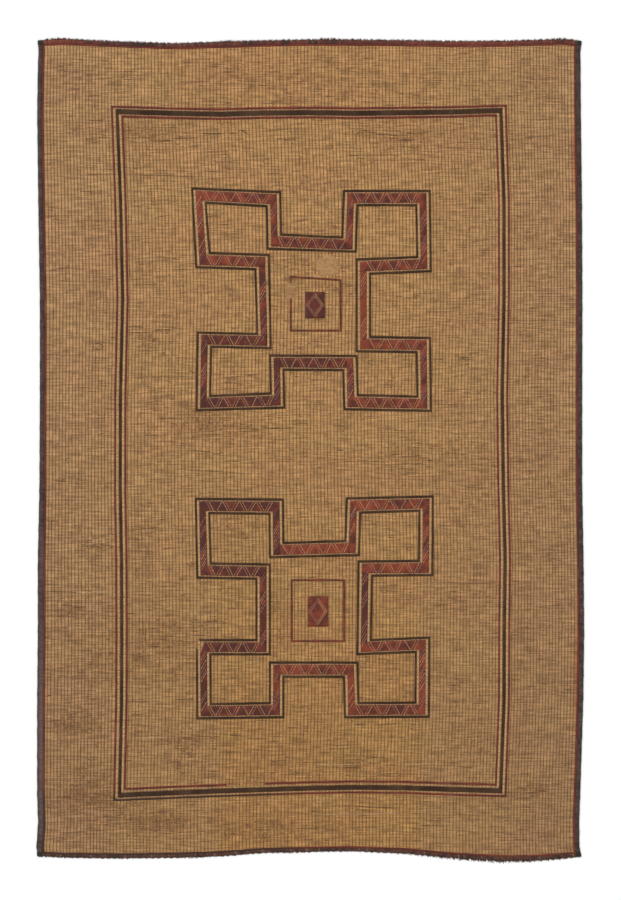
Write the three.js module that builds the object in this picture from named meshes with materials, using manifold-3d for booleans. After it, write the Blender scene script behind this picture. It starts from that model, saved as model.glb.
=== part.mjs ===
// A Tuareg floor mat of reeds and leather, in millimetres, lying flat with +Z up and its length along Y.
// The reeds lie side by side across the mat. Thin leather thongs run its whole length and hold them, and show as
// low ribs. Leather strips on the reeds make a frame and two stepped crosses. Leather binds all four edges.
// Every place is first given on a straight plan. lie() then says where that point is on the mat as it lies.

import * as THREE from 'three';
import Module from 'manifold-3d';
import { mergeVertices } from 'three/addons/utils/BufferGeometryUtils.js';

// The mat
const MAT_WIDTH = 2435;
const MAT_LENGTH = 3660;
const REED = 3;
const THONG_RIB = 0.8;
const LEATHER = 1;
const GAP = 0.35;

// The bindings: how far each flap reaches in from the edge, and the strip beside it
const SIDE_FLAP = 20;
const SIDE_LINE = 8;
const END_FLAP = 15;
const END_LINE = 10;
const FOLD_CHAMFER = 1.2;

// The thongs' cut ends along both end bindings
const TUFTS = 72;
const TUFT_ROOT = { least: 10, most: 28 };
const TUFT_TAPER = 0.45;
const TUFT_HEIGHT = 2.2;
const TUFT_LENGTH = { least: 2, most: 6 };
const TUFT_SINK = 0.5;

// The frame: half its plan size, and its three strips
const FRAME_HALF_WIDTH = 850;
const FRAME_HALF_LENGTH = 1505;
const FRAME_STRIPS = [
  { name: 'frame_line_outer', side: 23, sideWidth: 7, top: 22, bottom: 24.5, endWidth: 7.5, leather: 'red_leather' },
  { name: 'frame_band', side: 0, sideWidth: 13, top: 0, bottom: 0, endWidth: 20, leather: 'dark_leather' },
  { name: 'frame_line_inner', side: -23, sideWidth: 7, top: -21, bottom: -27, endWidth: 7.5, leather: 'red_leather' },
];
const WORN_STRIP = 'frame_line_inner_bottom';
const WORN_FROM = -433;
const WORN_TO = -202;

// How the mat wanders along its length. The edges' columns say how far in they lie, and the frame's columns how
// far to the right. The second row and the last but one are where the lifted rim ends.
const ALONG = [
  { y: -1830, left: 4, frameLeft: 0, frameRight: -4, right: 13 },
  { y: -1778, left: 0, frameLeft: 0, frameRight: -4, right: 21 },
  { y: -1650, left: 7, frameLeft: 0, frameRight: -4, right: 22 },
  { y: -1505, left: 3, frameLeft: 1, frameRight: -3, right: 17 },
  { y: -1100, left: 3, frameLeft: 10, frameRight: 12, right: 4 },
  { y: -800, left: 6, frameLeft: 11, frameRight: 13, right: 0 },
  { y: -480, left: 6, frameLeft: 10, frameRight: 17, right: 3 },
  { y: -150, left: 13, frameLeft: 4, frameRight: 9, right: 9 },
  { y: 250, left: 15, frameLeft: 5, frameRight: 4, right: 9 },
  { y: 680, left: 15, frameLeft: 15, frameRight: 12, right: 8 },
  { y: 1100, left: 8, frameLeft: 6, frameRight: 12, right: 10 },
  { y: 1505, left: 3, frameLeft: -10, frameRight: -2, right: 15 },
  { y: 1700, left: 6, frameLeft: -10, frameRight: -2, right: 16 },
  { y: 1778, left: 9, frameLeft: -10, frameRight: -2, right: 17 },
  { y: 1830, left: 6, frameLeft: -10, frameRight: -2, right: 12 },
];

// How it wanders across its width: the frame's columns are shifts upwards in the plan
const ACROSS = [
  { x: -1217.5, bottom: 22, frameBottom: -31, frameTop: 1, top: 8 },
  { x: -1105, bottom: 16, frameBottom: -31, frameTop: 1, top: 2 },
  { x: -980, bottom: 14, frameBottom: -31, frameTop: 1, top: 7 },
  { x: -850, bottom: 12, frameBottom: -31, frameTop: 1, top: 13 },
  { x: -600, bottom: 15, frameBottom: -20, frameTop: -7, top: 22 },
  { x: -393, bottom: 22, frameBottom: -12, frameTop: -11, top: 15 },
  { x: -200, bottom: 37, frameBottom: -6, frameTop: -6, top: 9 },
  { x: 0, bottom: 42, frameBottom: 0, frameTop: -4, top: 5 },
  { x: 200, bottom: 44, frameBottom: 4, frameTop: -7, top: 5 },
  { x: 420, bottom: 35, frameBottom: 2, frameTop: -4, top: 8 },
  { x: 630, bottom: 15, frameBottom: -5, frameTop: -1, top: 12 },
  { x: 850, bottom: 2, frameBottom: -11, frameTop: 6, top: 11 },
  { x: 1000, bottom: 3, frameBottom: -11, frameTop: 6, top: 7 },
  { x: 1124, bottom: 12, frameBottom: -11, frameTop: 6, top: 3 },
  { x: 1217.5, bottom: 21, frameBottom: -11, frameTop: 6, top: 10 },
];

// Where every so many thongs lie across the plan: they are a little closer together on the right
const THONGS = 156;
const THONG_PLACES = [
  { thong: 0, x: -1159 },
  { thong: 38, x: -594 },
  { thong: 75, x: -20 },
  { thong: 114, x: 566 },
  { thong: 155, x: 1159 },
];

// The stepped crosses. The red leather and its outlines are wider on runs across the mat than on runs along it.
const RED_ACROSS = 40;
const RED_ALONG = 28;
const OUTLINE_ACROSS = { offset: 32, width: 7.5 };
const OUTLINE_ALONG = { offset: 29, width: 6 };
const SQUARE_LINE = 5.5;
const BAR_NAMES = ['top', 'right', 'bottom', 'left'];

// Each block's red leather is a path of five corners, clockwise round the cross, from the end of one bar to the
// start of the next. The numbers are x and y from the cross's centre, and the square and the patch lie round it.
const CROSSES = [
  {
    name: 'upper',
    centre: [5, 667],
    blocks: [
      { name: 'top_left', path: [[-220, 169], [-483, 178], [-501, 465], [-169, 449], [-165, 260]] },
      { name: 'top_right', path: [[167, 247], [174, 454], [496, 454], [501, 160], [231, 149]] },
      { name: 'bottom_right', path: [[231, -196], [498, -200], [501, -461], [176, -454], [171, -280]] },
      { name: 'bottom_left', path: [[-154, -278], [-151, -447], [-481, -458], [-476, -176], [-211, -182]] },
    ],
    square: { left: -92, right: 130, topLeft: 104, topRight: 89, bottom: -136, wornFrom: 76, wornTo: 8 },
    patch: { left: -28, right: 59, top: 36, bottom: -81 },
  },
  {
    name: 'lower',
    centre: [18, -701],
    blocks: [
      { name: 'top_left', path: [[-228, 160], [-491, 165], [-498, 452], [-170, 449], [-168, 256]] },
      { name: 'top_right', path: [[168, 265], [174, 454], [497, 463], [495, 176], [226, 174]] },
      { name: 'bottom_right', path: [[221, -176], [481, -165], [479, -454], [166, -456], [161, -276]] },
      { name: 'bottom_left', path: [[-168, -276], [-168, -456], [-491, -461], [-493, -176], [-228, -176]] },
    ],
    square: { left: -101, right: 132, topLeft: 122, topRight: 122, bottom: -149 },
    patch: { left: -30, right: 61, top: 50, bottom: -84 },
  },
];

const FINISHES = {
  reeds: { color: 0x9f7b54, roughness: 0.85, metalness: 0 },
  dark_leather: { color: 0x41322a, roughness: 0.6, metalness: 0 },
  red_leather: { color: 0x67332a, roughness: 0.6, metalness: 0 },
  binding_leather: { color: 0x4c4038, roughness: 0.55, metalness: 0 },
  end_leather: { color: 0x5a3026, roughness: 0.65, metalness: 0 },
};

// Worked out from these. The rim of the field is lifted by the flap that lies under it, and the end bindings lie
// a little inside the mat's ends, to leave room for the tufts.
const HALF_WIDTH = MAT_WIDTH / 2;
const HALF_LENGTH = MAT_LENGTH / 2;
const END_WALL = HALF_LENGTH - (TUFT_LENGTH.least + TUFT_LENGTH.most) / 2;
const SIDE_RIM = HALF_WIDTH - SIDE_FLAP - SIDE_LINE - 2 * GAP;
const END_RIM = END_WALL - END_FLAP - END_LINE - 2 * GAP;
const RIM_SLOPE = END_RIM - ALONG.at(-2).y;
const RIM_LIFT = LEATHER + GAP;
const RIM_TOP = RIM_LIFT + REED;
const BINDING_HEIGHT = RIM_TOP + GAP + LEATHER;
const STRIP_BOTTOM = REED + THONG_RIB + GAP;
const LINE_BOTTOM = RIM_TOP + GAP;

const { lerp, mapLinear } = THREE.MathUtils;
const wasm = await Module();
wasm.setup();
const mat = new THREE.Group();

function addPiece(name, finish, geometry) {
  const piece = new THREE.Mesh(geometry, new THREE.MeshStandardMaterial(FINISHES[finish]));
  piece.name = name;
  mat.add(piece);
}

// The value of column `read` where column `by` is at `place`, on straight lines between rows and past the ends
function readTable(rows, by, read, place) {
  const last = rows.length - 1;
  const found = rows.findIndex((row) => row[by] >= place);
  const after = found < 0 ? last : Math.max(1, found);
  const [low, high] = [rows[after - 1], rows[after]];
  return mapLinear(place, low[by], high[by], low[read], high[read]);
}

// From a point of the straight plan to where it is on the mat as it lies
function lie(x, y) {
  const along = (column) => readTable(ALONG, 'y', column, y);
  const across = (column) => readTable(ACROSS, 'x', column, x);
  const sideways = [
    { at: -HALF_WIDTH, shift: along('left') },
    { at: -FRAME_HALF_WIDTH, shift: along('frameLeft') },
    { at: FRAME_HALF_WIDTH, shift: along('frameRight') },
    { at: HALF_WIDTH, shift: -along('right') },
  ];
  const lengthways = [
    { at: -HALF_LENGTH, shift: across('bottom') },
    { at: -FRAME_HALF_LENGTH, shift: across('frameBottom') },
    { at: FRAME_HALF_LENGTH, shift: across('frameTop') },
    { at: HALF_LENGTH, shift: -across('top') },
  ];
  return [x + readTable(sideways, 'at', 'shift', x), y + readTable(lengthways, 'at', 'shift', y)];
}

// From one place to another with a stop at each of the table's rows between them, so that neighbours bend alike
function stops(rows, key, from, to) {
  return [from, ...rows.map((row) => row[key]).filter((place) => place > from && place < to), to];
}

// A closed mesh from points and triangles, which are turned round if its volume comes out negative
function closedGeometry(points, triangles) {
  const [a, b, c] = [new THREE.Vector3(), new THREE.Vector3(), new THREE.Vector3()];
  const volume = triangles.reduce((sum, [i, j, k]) => {
    a.fromArray(points[i]);
    b.fromArray(points[j]);
    c.fromArray(points[k]);
    return sum + a.dot(b.cross(c));
  }, 0);
  const outward = volume > 0 ? triangles : triangles.map(([i, j, k]) => [i, k, j]);
  const geometry = new THREE.BufferGeometry();
  geometry.setAttribute('position', new THREE.Float32BufferAttribute(points.flat(), 3));
  geometry.setIndex(outward.flat());
  geometry.computeVertexNormals();
  return geometry;
}

// Two rows of vertex numbers joined by triangles. place gives where each vertex is along its row.
function joinRows(low, high, place) {
  const triangles = [];
  let i = 0;
  let j = 0;
  while (i < low.length - 1 || j < high.length - 1) {
    const lowIsNext = j === high.length - 1
      || (i < low.length - 1 && place(low[i + 1]) <= place(high[j + 1]));
    if (lowIsNext) {
      triangles.push([low[i], low[i + 1], high[j]]);
      i += 1;
    } else {
      triangles.push([low[i], high[j + 1], high[j]]);
      j += 1;
    }
  }
  return triangles;
}

// The field's columns: a crest on each thong, a trough halfway to the next, and the rim at both sides
function fieldColumns() {
  const edge = HALF_WIDTH - LEATHER - GAP;
  const slopeEnd = SIDE_RIM - RIM_SLOPE;
  const leftRim = [{ x: -edge, rim: true }, { x: -SIDE_RIM, rim: true }];
  const rightRim = [{ x: SIDE_RIM, rim: true }, { x: edge, rim: true }];
  const thongs = Array.from({ length: THONGS }, (_, k) => readTable(THONG_PLACES, 'thong', 'x', k));
  const troughs = [-slopeEnd, ...thongs.slice(1).map((x, k) => (x + thongs[k]) / 2), slopeEnd];
  const ribs = thongs.flatMap((x, k) => [{ x: troughs[k], height: 0 }, { x, height: THONG_RIB }]);
  const plain = stops(ACROSS, 'x', -slopeEnd, slopeEnd).map((x) => ({ x, height: 0 }));
  return {
    ribbed: [...leftRim, ...ribs, { x: slopeEnd, height: 0 }, ...rightRim],
    plain: [...leftRim, ...plain, ...rightRim],
  };
}

// The field of reeds, ribbed on top and plain underneath, with its rim lifted all round
function fieldGeometry() {
  const edge = END_WALL - LEATHER - GAP;
  const { ribbed, plain } = fieldColumns();
  const lowRim = [{ y: -edge, rim: true }, { y: -END_RIM, rim: true }];
  const highRim = [{ y: END_RIM, rim: true }, { y: edge, rim: true }];
  const inside = ALONG.slice(1, -1);

  const points = [];
  const planX = [];
  const addRow = (columns, row, onTop) => columns.map((column) => {
    const lifted = row.rim || column.rim;
    const underside = lifted ? RIM_LIFT : 0;
    const thickness = lifted ? REED : REED + column.height;
    points.push([...lie(column.x, row.y), onTop ? underside + thickness : underside]);
    planX.push(column.x);
    return points.length - 1;
  });
  const joinAll = (rows) => rows.slice(1).flatMap((row, i) => joinRows(rows[i], row, (v) => planX[v]));

  const upper = [
    ...lowRim.map((row) => addRow(plain, row, true)),
    ...inside.map((row) => addRow(ribbed, row, true)),
    ...highRim.map((row) => addRow(plain, row, true)),
  ];
  const lower = [...lowRim, ...inside, ...highRim].map((row) => addRow(plain, row, false));
  const walls = (high, low) => high.slice(1).flatMap((_, i) => [
    [low[i], low[i + 1], high[i + 1]],
    [low[i], high[i + 1], high[i]],
  ]);
  const column = (rows, at) => rows.map((row) => row.at(at));
  return closedGeometry(points, [
    ...joinAll(upper),
    ...joinAll(lower).map(([i, j, k]) => [i, k, j]),
    ...walls(upper[0], lower[0]),
    ...walls(column(upper, -1), column(lower, -1)),
    ...walls([...upper.at(-1)].reverse(), [...lower.at(-1)].reverse()),
    ...walls(column(upper, 0).reverse(), column(lower, 0).reverse()),
  ]);
}

// Leather folded round an edge: a C-shaped section carried along it. place(inward, along) gives the point that
// far in from the edge and that far along it.
function foldedBinding(flap, stations, place) {
  const section = [
    [flap, 0],
    [flap, LEATHER],
    [LEATHER, LEATHER],
    [LEATHER, BINDING_HEIGHT - LEATHER],
    [flap, BINDING_HEIGHT - LEATHER],
    [flap, BINDING_HEIGHT],
    [FOLD_CHAMFER, BINDING_HEIGHT],
    [0, BINDING_HEIGHT - FOLD_CHAMFER],
    [0, 0],
  ];
  const count = section.length;
  const points = stations.flatMap((along) => section.map(([inward, z]) => [...place(inward, along), z]));
  const triangles = stations.slice(1).flatMap((_, s) => section.flatMap((__, p) => {
    const [here, next] = [s * count + p, s * count + ((p + 1) % count)];
    return [[here, next, next + count], [here, next + count, here + count]];
  }));
  const outline = section.map(([inward, z]) => new THREE.Vector2(inward, z));
  const farEnd = (stations.length - 1) * count;
  THREE.ShapeUtils.triangulateShape(outline, []).forEach(([i, j, k]) => {
    triangles.push([i, k, j], [i + farEnd, j + farEnd, k + farEnd]);
  });
  return closedGeometry(points, triangles);
}

function toManifold(geometry) {
  const bare = new THREE.BufferGeometry();
  bare.setAttribute('position', geometry.getAttribute('position'));
  bare.setIndex(geometry.index);
  const merged = mergeVertices(bare);
  return new wasm.Manifold(new wasm.Mesh({
    numProp: 3,
    vertProperties: new Float32Array(merged.getAttribute('position').array),
    triVerts: new Uint32Array(merged.index.array),
  }));
}

function fromManifold(solid) {
  const { vertProperties, triVerts } = solid.getMesh();
  const geometry = new THREE.BufferGeometry();
  geometry.setAttribute('position', new THREE.Float32BufferAttribute(vertProperties, 3));
  geometry.setIndex(new THREE.Uint32BufferAttribute(triVerts, 1));
  geometry.computeVertexNormals();
  return geometry;
}

// A number from 0 to 1 that looks random and is the same each time
function scatter(k, salt) {
  const wave = Math.sin(k * 12.9898 + salt * 78.233) * 43758.5453;
  return wave - Math.floor(wave);
}

// One tuft: a three-sided lock that lies level on the floor, with its root inside the binding
function tuft(centre, root, length, place) {
  const section = (inward, width, height) => [
    [...place(inward, centre - width / 2), 0],
    [...place(inward, centre + width / 2), 0],
    [...place(inward, centre), height],
  ];
  const points = [
    ...section(TUFT_SINK, root, TUFT_HEIGHT),
    ...section(-length, root * TUFT_TAPER, TUFT_HEIGHT * TUFT_TAPER),
  ];
  const ends = [[0, 2, 1], [3, 4, 5]];
  const sides = [[0, 1, 4], [0, 4, 3], [1, 2, 5], [1, 5, 4], [2, 0, 3], [2, 3, 5]];
  return toManifold(closedGeometry(points, [...ends, ...sides]));
}

function addSideBindings() {
  for (const [name, side] of [['left', -1], ['right', 1]]) {
    const place = (inward, y) => lie(side * (HALF_WIDTH - inward), y);
    const stations = ALONG.map((row) => row.y);
    addPiece(`side_binding_${name}`, 'binding_leather', foldedBinding(SIDE_FLAP, stations, place));
  }
}

// The end bindings fit between the side ones, with their tufts joined on
function addEndBindings() {
  const reach = HALF_WIDTH - SIDE_FLAP - GAP;
  const pitch = (2 * reach) / TUFTS;
  for (const [name, end] of [['top', 1], ['bottom', -1]]) {
    const place = (inward, x) => lie(x, end * (END_WALL - inward));
    const roll = toManifold(foldedBinding(END_FLAP, stops(ACROSS, 'x', -reach, reach), place));
    const tufts = Array.from({ length: TUFTS }, (_, k) => {
      const length = lerp(TUFT_LENGTH.least, TUFT_LENGTH.most, scatter(k, end));
      const root = lerp(TUFT_ROOT.least, TUFT_ROOT.most, scatter(k, 2 * end));
      return tuft(-reach + pitch * (k + 0.5), root, length, place);
    });
    const whole = tufts.reduce((joined, one) => joined.add(one), roll);
    addPiece(`end_binding_${name}`, 'end_leather', fromManifold(whole));
  }
}

// A flat piece of leather cut to an outline of [x, y] points and laid with its underside at the given height
function flatPiece(outline, bottom) {
  const shape = new THREE.Shape(outline.map(([x, y]) => new THREE.Vector2(x, y)));
  const geometry = new THREE.ExtrudeGeometry(shape, { depth: LEATHER, bevelEnabled: false });
  return geometry.translate(0, 0, bottom);
}

// A long strip along the mat: out along its left side and back along its right
function addStripAlong(name, finish, centreX, width, from, to, bottom) {
  const stations = stops(ALONG, 'y', from, to);
  const side = (off) => stations.map((y) => lie(centreX + off, y));
  addPiece(name, finish, flatPiece([...side(-width / 2), ...side(width / 2).reverse()], bottom));
}

// A long strip across the mat
function addStripAcross(name, finish, centreY, width, from, to, bottom) {
  const stations = stops(ACROSS, 'x', from, to);
  const side = (off) => stations.map((x) => lie(x, centreY + off));
  addPiece(name, finish, flatPiece([...side(-width / 2), ...side(width / 2).reverse()], bottom));
}

// The thin red strips just inside the bindings
function addEdgeLines() {
  const sideAt = HALF_WIDTH - SIDE_FLAP - GAP - SIDE_LINE / 2;
  const endAt = END_WALL - END_FLAP - GAP - END_LINE / 2;
  const endReach = HALF_WIDTH - SIDE_FLAP - GAP;
  const sideReach = endAt - END_LINE / 2 - GAP;
  for (const [side, end, way] of [['left', 'bottom', -1], ['right', 'top', 1]]) {
    addStripAlong(`side_line_${side}`, 'red_leather', way * sideAt, SIDE_LINE, -sideReach, sideReach, LINE_BOTTOM);
    addStripAcross(`end_line_${end}`, 'red_leather', way * endAt, END_LINE, -endReach, endReach, LINE_BOTTOM);
  }
}

// The frame: its end strips run the whole width, and its side strips butt against them
function addFrame() {
  for (const { name, side, sideWidth, top, bottom, endWidth, leather } of FRAME_STRIPS) {
    const sideAt = FRAME_HALF_WIDTH + side;
    const topAt = FRAME_HALF_LENGTH + top;
    const bottomAt = -FRAME_HALF_LENGTH - bottom;
    const reach = sideAt + sideWidth / 2;
    const low = bottomAt + endWidth / 2 + GAP;
    const high = topAt - endWidth / 2 - GAP;
    addStripAlong(`${name}_left`, leather, -sideAt, sideWidth, low, high, STRIP_BOTTOM);
    addStripAlong(`${name}_right`, leather, sideAt, sideWidth, low, high, STRIP_BOTTOM);
    addStripAcross(`${name}_top`, leather, topAt, endWidth, -reach, reach, STRIP_BOTTOM);
    if (`${name}_bottom` === WORN_STRIP) {
      addStripAcross(`${name}_bottom_left`, leather, bottomAt, endWidth, -reach, WORN_FROM, STRIP_BOTTOM);
      addStripAcross(`${name}_bottom_right`, leather, bottomAt, endWidth, WORN_TO, reach, STRIP_BOTTOM);
    } else {
      addStripAcross(`${name}_bottom`, leather, bottomAt, endWidth, -reach, reach, STRIP_BOTTOM);
    }
  }
}

// Which way is outwards at a corner of a clockwise path: x from its upright run and y from its level one
function outwards(before, here, after) {
  const arriving = [here[0] - before[0], here[1] - before[1]];
  const leaving = [after[0] - here[0], after[1] - here[1]];
  const arrivesLevel = Math.abs(arriving[0]) > Math.abs(arriving[1]);
  const level = arrivesLevel ? arriving : leaving;
  const upright = arrivesLevel ? leaving : arriving;
  return [-Math.sign(upright[1]), Math.sign(level[0])];
}

// The twenty corners of a cross, each with its outward normal
function crossCorners(cross) {
  const [cx, cy] = cross.centre;
  const placed = cross.blocks.flatMap((block) => block.path.map(([x, y]) => [x + cx, y + cy]));
  const count = placed.length;
  return placed.map((here, i) => ({
    here,
    normal: outwards(placed[(i + count - 1) % count], here, placed[(i + 1) % count]),
  }));
}

// A corner moved out from the path's centre line by its two runs' own offsets
function movedOut({ here, normal }, along, across) {
  return [here[0] + normal[0] * along, here[1] + normal[1] * across];
}

// The red leather: a block takes in the squares at both its ends, and a bar fills the run between two blocks
function addRedLeather(cross, corners) {
  const [halfAlong, halfAcross] = [RED_ALONG / 2, RED_ACROSS / 2];
  cross.blocks.forEach((block, b) => {
    const five = corners.slice(5 * b, 5 * b + 5);
    const uprightFirst = b % 2 === 1;
    const squareCorner = (corner, blockIsUpright) => {
      const way = blockIsUpright ? 1 : -1;
      return movedOut(corner, way * halfAlong, -way * halfAcross);
    };
    const outline = [
      ...five.map((corner) => movedOut(corner, halfAlong, halfAcross)),
      squareCorner(five[4], !uprightFirst),
      ...[...five].reverse().map((corner) => movedOut(corner, -halfAlong, -halfAcross)),
      squareCorner(five[0], uprightFirst),
    ];
    addPiece(`cross_${cross.name}_block_${block.name}`, 'red_leather', flatPiece(outline, STRIP_BOTTOM));

    const from = five[4].here;
    const to = corners[(5 * b + 5) % corners.length].here;
    const barIsUpright = uprightFirst;
    const run = barIsUpright ? 1 : 0;
    const [halfWidth, halfSquare] = barIsUpright ? [halfAlong, halfAcross] : [halfAcross, halfAlong];
    const clear = Math.sign(to[run] - from[run]) * (halfSquare + GAP);
    const barCorner = (end, back, side) => {
      const corner = [...end];
      corner[run] += back;
      corner[1 - run] += side;
      return corner;
    };
    const bar = [
      barCorner(from, clear, -halfWidth),
      barCorner(from, clear, halfWidth),
      barCorner(to, -clear, halfWidth),
      barCorner(to, -clear, -halfWidth),
    ];
    addPiece(`cross_${cross.name}_bar_${BAR_NAMES[b]}`, 'red_leather', flatPiece(bar, STRIP_BOTTOM));
  });
}

// The dark outlines: one strip a block on each side of the red, cut at the middle of each bar
function addOutlines(cross, corners) {
  const count = corners.length;
  for (const [side, way] of [['outer', 1], ['inner', -1]]) {
    const [outer, inner] = [0.5, -0.5].map((half) => corners.map((corner) => movedOut(
      corner,
      way * OUTLINE_ALONG.offset + half * OUTLINE_ALONG.width,
      way * OUTLINE_ACROSS.offset + half * OUTLINE_ACROSS.width,
    )));
    cross.blocks.forEach((block, b) => {
      const nearMiddle = (line, from, to) => {
        const [start, end] = [line[from % count], line[to % count]];
        const length = Math.hypot(end[0] - start[0], end[1] - start[1]);
        const share = 0.5 - GAP / length;
        return [lerp(start[0], end[0], share), lerp(start[1], end[1], share)];
      };
      const run = (line) => [
        nearMiddle(line, 5 * b, 5 * b + count - 1),
        ...line.slice(5 * b, 5 * b + 5),
        nearMiddle(line, 5 * b + 4, 5 * b + 5),
      ];
      const outline = [...run(outer), ...run(inner).reverse()];
      addPiece(`cross_${cross.name}_${side}_line_${block.name}`, 'dark_leather', flatPiece(outline, STRIP_BOTTOM));
    });
  }
}

// The centre square's line, with a gap where it is worn away on the left, and the patch inside it
function addCentre(cross) {
  const fromCentre = ([x, y]) => [x + cross.centre[0], y + cross.centre[1]];
  const { left, right, topLeft, topRight, bottom, wornFrom, wornTo } = cross.square;
  const half = SQUARE_LINE / 2;
  const [outer, inner] = [half, -half].map((grow) => [
    [left - grow, topLeft + grow],
    [right + grow, topRight + grow],
    [right + grow, bottom - grow],
    [left - grow, bottom - grow],
  ].map(fromCentre));
  const cutAway = (solid, outline) => solid.subtract(toManifold(flatPiece(outline, STRIP_BOTTOM)));
  let line = toManifold(flatPiece(outer, STRIP_BOTTOM));
  line = cutAway(line, inner);
  if (wornFrom !== undefined) {
    const gap = [[-SQUARE_LINE, wornTo], [SQUARE_LINE, wornTo], [SQUARE_LINE, wornFrom], [-SQUARE_LINE, wornFrom]];
    line = cutAway(line, gap.map(([off, y]) => fromCentre([left + off, y])));
  }
  addPiece(`cross_${cross.name}_square_line`, 'red_leather', fromManifold(line));

  const { patch } = cross;
  const corners = [
    [patch.left, patch.top],
    [patch.right, patch.top],
    [patch.right, patch.bottom],
    [patch.left, patch.bottom],
  ];
  addPiece(`cross_${cross.name}_patch`, 'red_leather', flatPiece(corners.map(fromCentre), STRIP_BOTTOM));
}

addPiece('reed_field', 'reeds', fieldGeometry());
addSideBindings();
addEndBindings();
addEdgeLines();
addFrame();
for (const cross of CROSSES) {
  const corners = crossCorners(cross);
  addRedLeather(cross, corners);
  addOutlines(cross, corners);
  addCentre(cross);
}

// The origin is under the middle of the mat's footprint
const footprint = new THREE.Box3().setFromObject(mat);
const centre = footprint.getCenter(new THREE.Vector3());
mat.position.set(-centre.x, -centre.y, -footprint.min.z);
mat.updateMatrixWorld(true);

export default mat;
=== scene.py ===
"""A Tuareg floor mat: reeds laid side by side, the long leather thongs that hold them, and leather strips.

Lengths here are in millimetres on a straight plan of the mat. lie() says where a point of the plan is on the
mat as it lies, and in_frame() turns that into metres.
"""

import bpy
import numpy as np
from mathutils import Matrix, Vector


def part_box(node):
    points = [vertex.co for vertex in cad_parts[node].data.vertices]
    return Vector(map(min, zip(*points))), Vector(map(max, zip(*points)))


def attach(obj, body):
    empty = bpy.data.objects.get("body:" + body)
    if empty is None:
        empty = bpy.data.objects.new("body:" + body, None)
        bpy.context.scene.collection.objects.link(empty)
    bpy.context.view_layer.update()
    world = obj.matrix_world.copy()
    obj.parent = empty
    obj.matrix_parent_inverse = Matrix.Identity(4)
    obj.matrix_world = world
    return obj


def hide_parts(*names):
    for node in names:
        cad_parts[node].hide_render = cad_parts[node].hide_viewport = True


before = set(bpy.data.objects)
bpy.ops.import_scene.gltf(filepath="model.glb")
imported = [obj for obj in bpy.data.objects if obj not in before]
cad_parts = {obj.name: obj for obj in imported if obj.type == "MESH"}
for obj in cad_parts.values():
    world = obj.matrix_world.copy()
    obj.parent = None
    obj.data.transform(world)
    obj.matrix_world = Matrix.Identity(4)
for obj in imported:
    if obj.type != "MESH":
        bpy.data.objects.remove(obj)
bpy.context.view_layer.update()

MM = 0.001

# The mat, as the solids have it
HALF_WIDTH = 2435 / 2
HALF_LENGTH = 3660 / 2
REED = 3.0
LEATHER = 1.0
GAP = 0.35
THONG_RIB = 0.8
SIDE_FLAP = 20
SIDE_LINE = 8
END_FLAP = 15
END_LINE = 10
LINE_WORN = 2.5
END_WALL = HALF_LENGTH - 4
SIDE_RIM = HALF_WIDTH - SIDE_FLAP - SIDE_LINE - 2 * GAP
END_RIM = END_WALL - END_FLAP - END_LINE - 2 * GAP
RIM_START = 1778
RIM_SLOPE = END_RIM - RIM_START
RIM_LIFT = LEATHER + GAP
BINDING_HEIGHT = RIM_LIFT + REED + GAP + LEATHER
STRIP_TOP = REED + THONG_RIB + GAP + LEATHER
STRIP_BOTTOM = REED + 0.4
LINE_TOP = BINDING_HEIGHT
LINE_BOTTOM = LINE_TOP - 1.6

# Reeds and thongs. A thong's stitch goes over two reeds, and is narrower where it sinks between them. Five
# of the thongs have their places named, and the others lie evenly between those.
REED_PITCH = 3.5
REED_GROOVE = 0.7
STITCH_REEDS = 2
THONGS = 156
THONG_WIDTH = 4.3
THONG_NARROW = 0.7
THONG_SUNK = 0.05
THONG_SHAKE = 0.45
THONG_NUMBER = [0, 38, 75, 114, 155]
THONG_X = [-1159, -594, -20, 566, 1159]

# The frame: how far its strips lie from its plan size, and how wide they are
FRAME_HALF_WIDTH = 850
FRAME_HALF_LENGTH = 1505
FRAME_STRIPS = [
    {"name": "frame_line_outer", "side": 23, "side_width": 7, "top": 22, "bottom": 24.5, "end_width": 8.5},
    {"name": "frame_band", "side": 0, "side_width": 13, "top": 0, "bottom": 0, "end_width": 22},
    {"name": "frame_line_inner", "side": -23, "side_width": 7, "top": -21, "bottom": -27, "end_width": 8.5},
]

# Where the frame's inner bottom line is worn away
WORN_FROM = -374
WORN_TO = -202


def table(columns, rows):
    """Rows of numbers as an array with named columns."""
    return np.array(rows, dtype=[(name, float) for name in columns.split()])


# How the mat wanders along its length: how far in its edges lie, and how far to the right its frame does
ALONG = table("y left frame_left frame_right right", [
    (-1830, 4, 0, -4, 13),
    (-1778, 0, 0, -4, 21),
    (-1650, 7, 0, -4, 22),
    (-1505, 3, 1, -3, 17),
    (-1100, 3, 10, 12, 4),
    (-800, 6, 11, 13, 0),
    (-480, 6, 10, 17, 3),
    (-150, 13, 4, 9, 9),
    (250, 15, 5, 4, 9),
    (680, 15, 15, 12, 8),
    (1100, 8, 6, 12, 10),
    (1505, 3, -10, -2, 15),
    (1700, 6, -10, -2, 16),
    (1778, 9, -10, -2, 17),
    (1830, 6, -10, -2, 12),
])

# How it wanders across its width: the frame's columns are shifts upwards
ACROSS = table("x bottom frame_bottom frame_top top", [
    (-1217.5, 22, -31, 1, 8),
    (-1105, 16, -31, 1, 2),
    (-980, 14, -31, 1, 7),
    (-850, 12, -31, 1, 13),
    (-600, 15, -20, -7, 22),
    (-393, 22, -12, -11, 15),
    (-200, 37, -6, -6, 9),
    (0, 42, 0, -4, 5),
    (200, 44, 4, -7, 5),
    (420, 35, 2, -4, 8),
    (630, 15, -5, -1, 12),
    (850, 2, -11, 6, 11),
    (1000, 3, -11, 6, 7),
    (1124, 12, -11, 6, 3),
    (1217.5, 21, -11, 6, 10),
])

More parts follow.
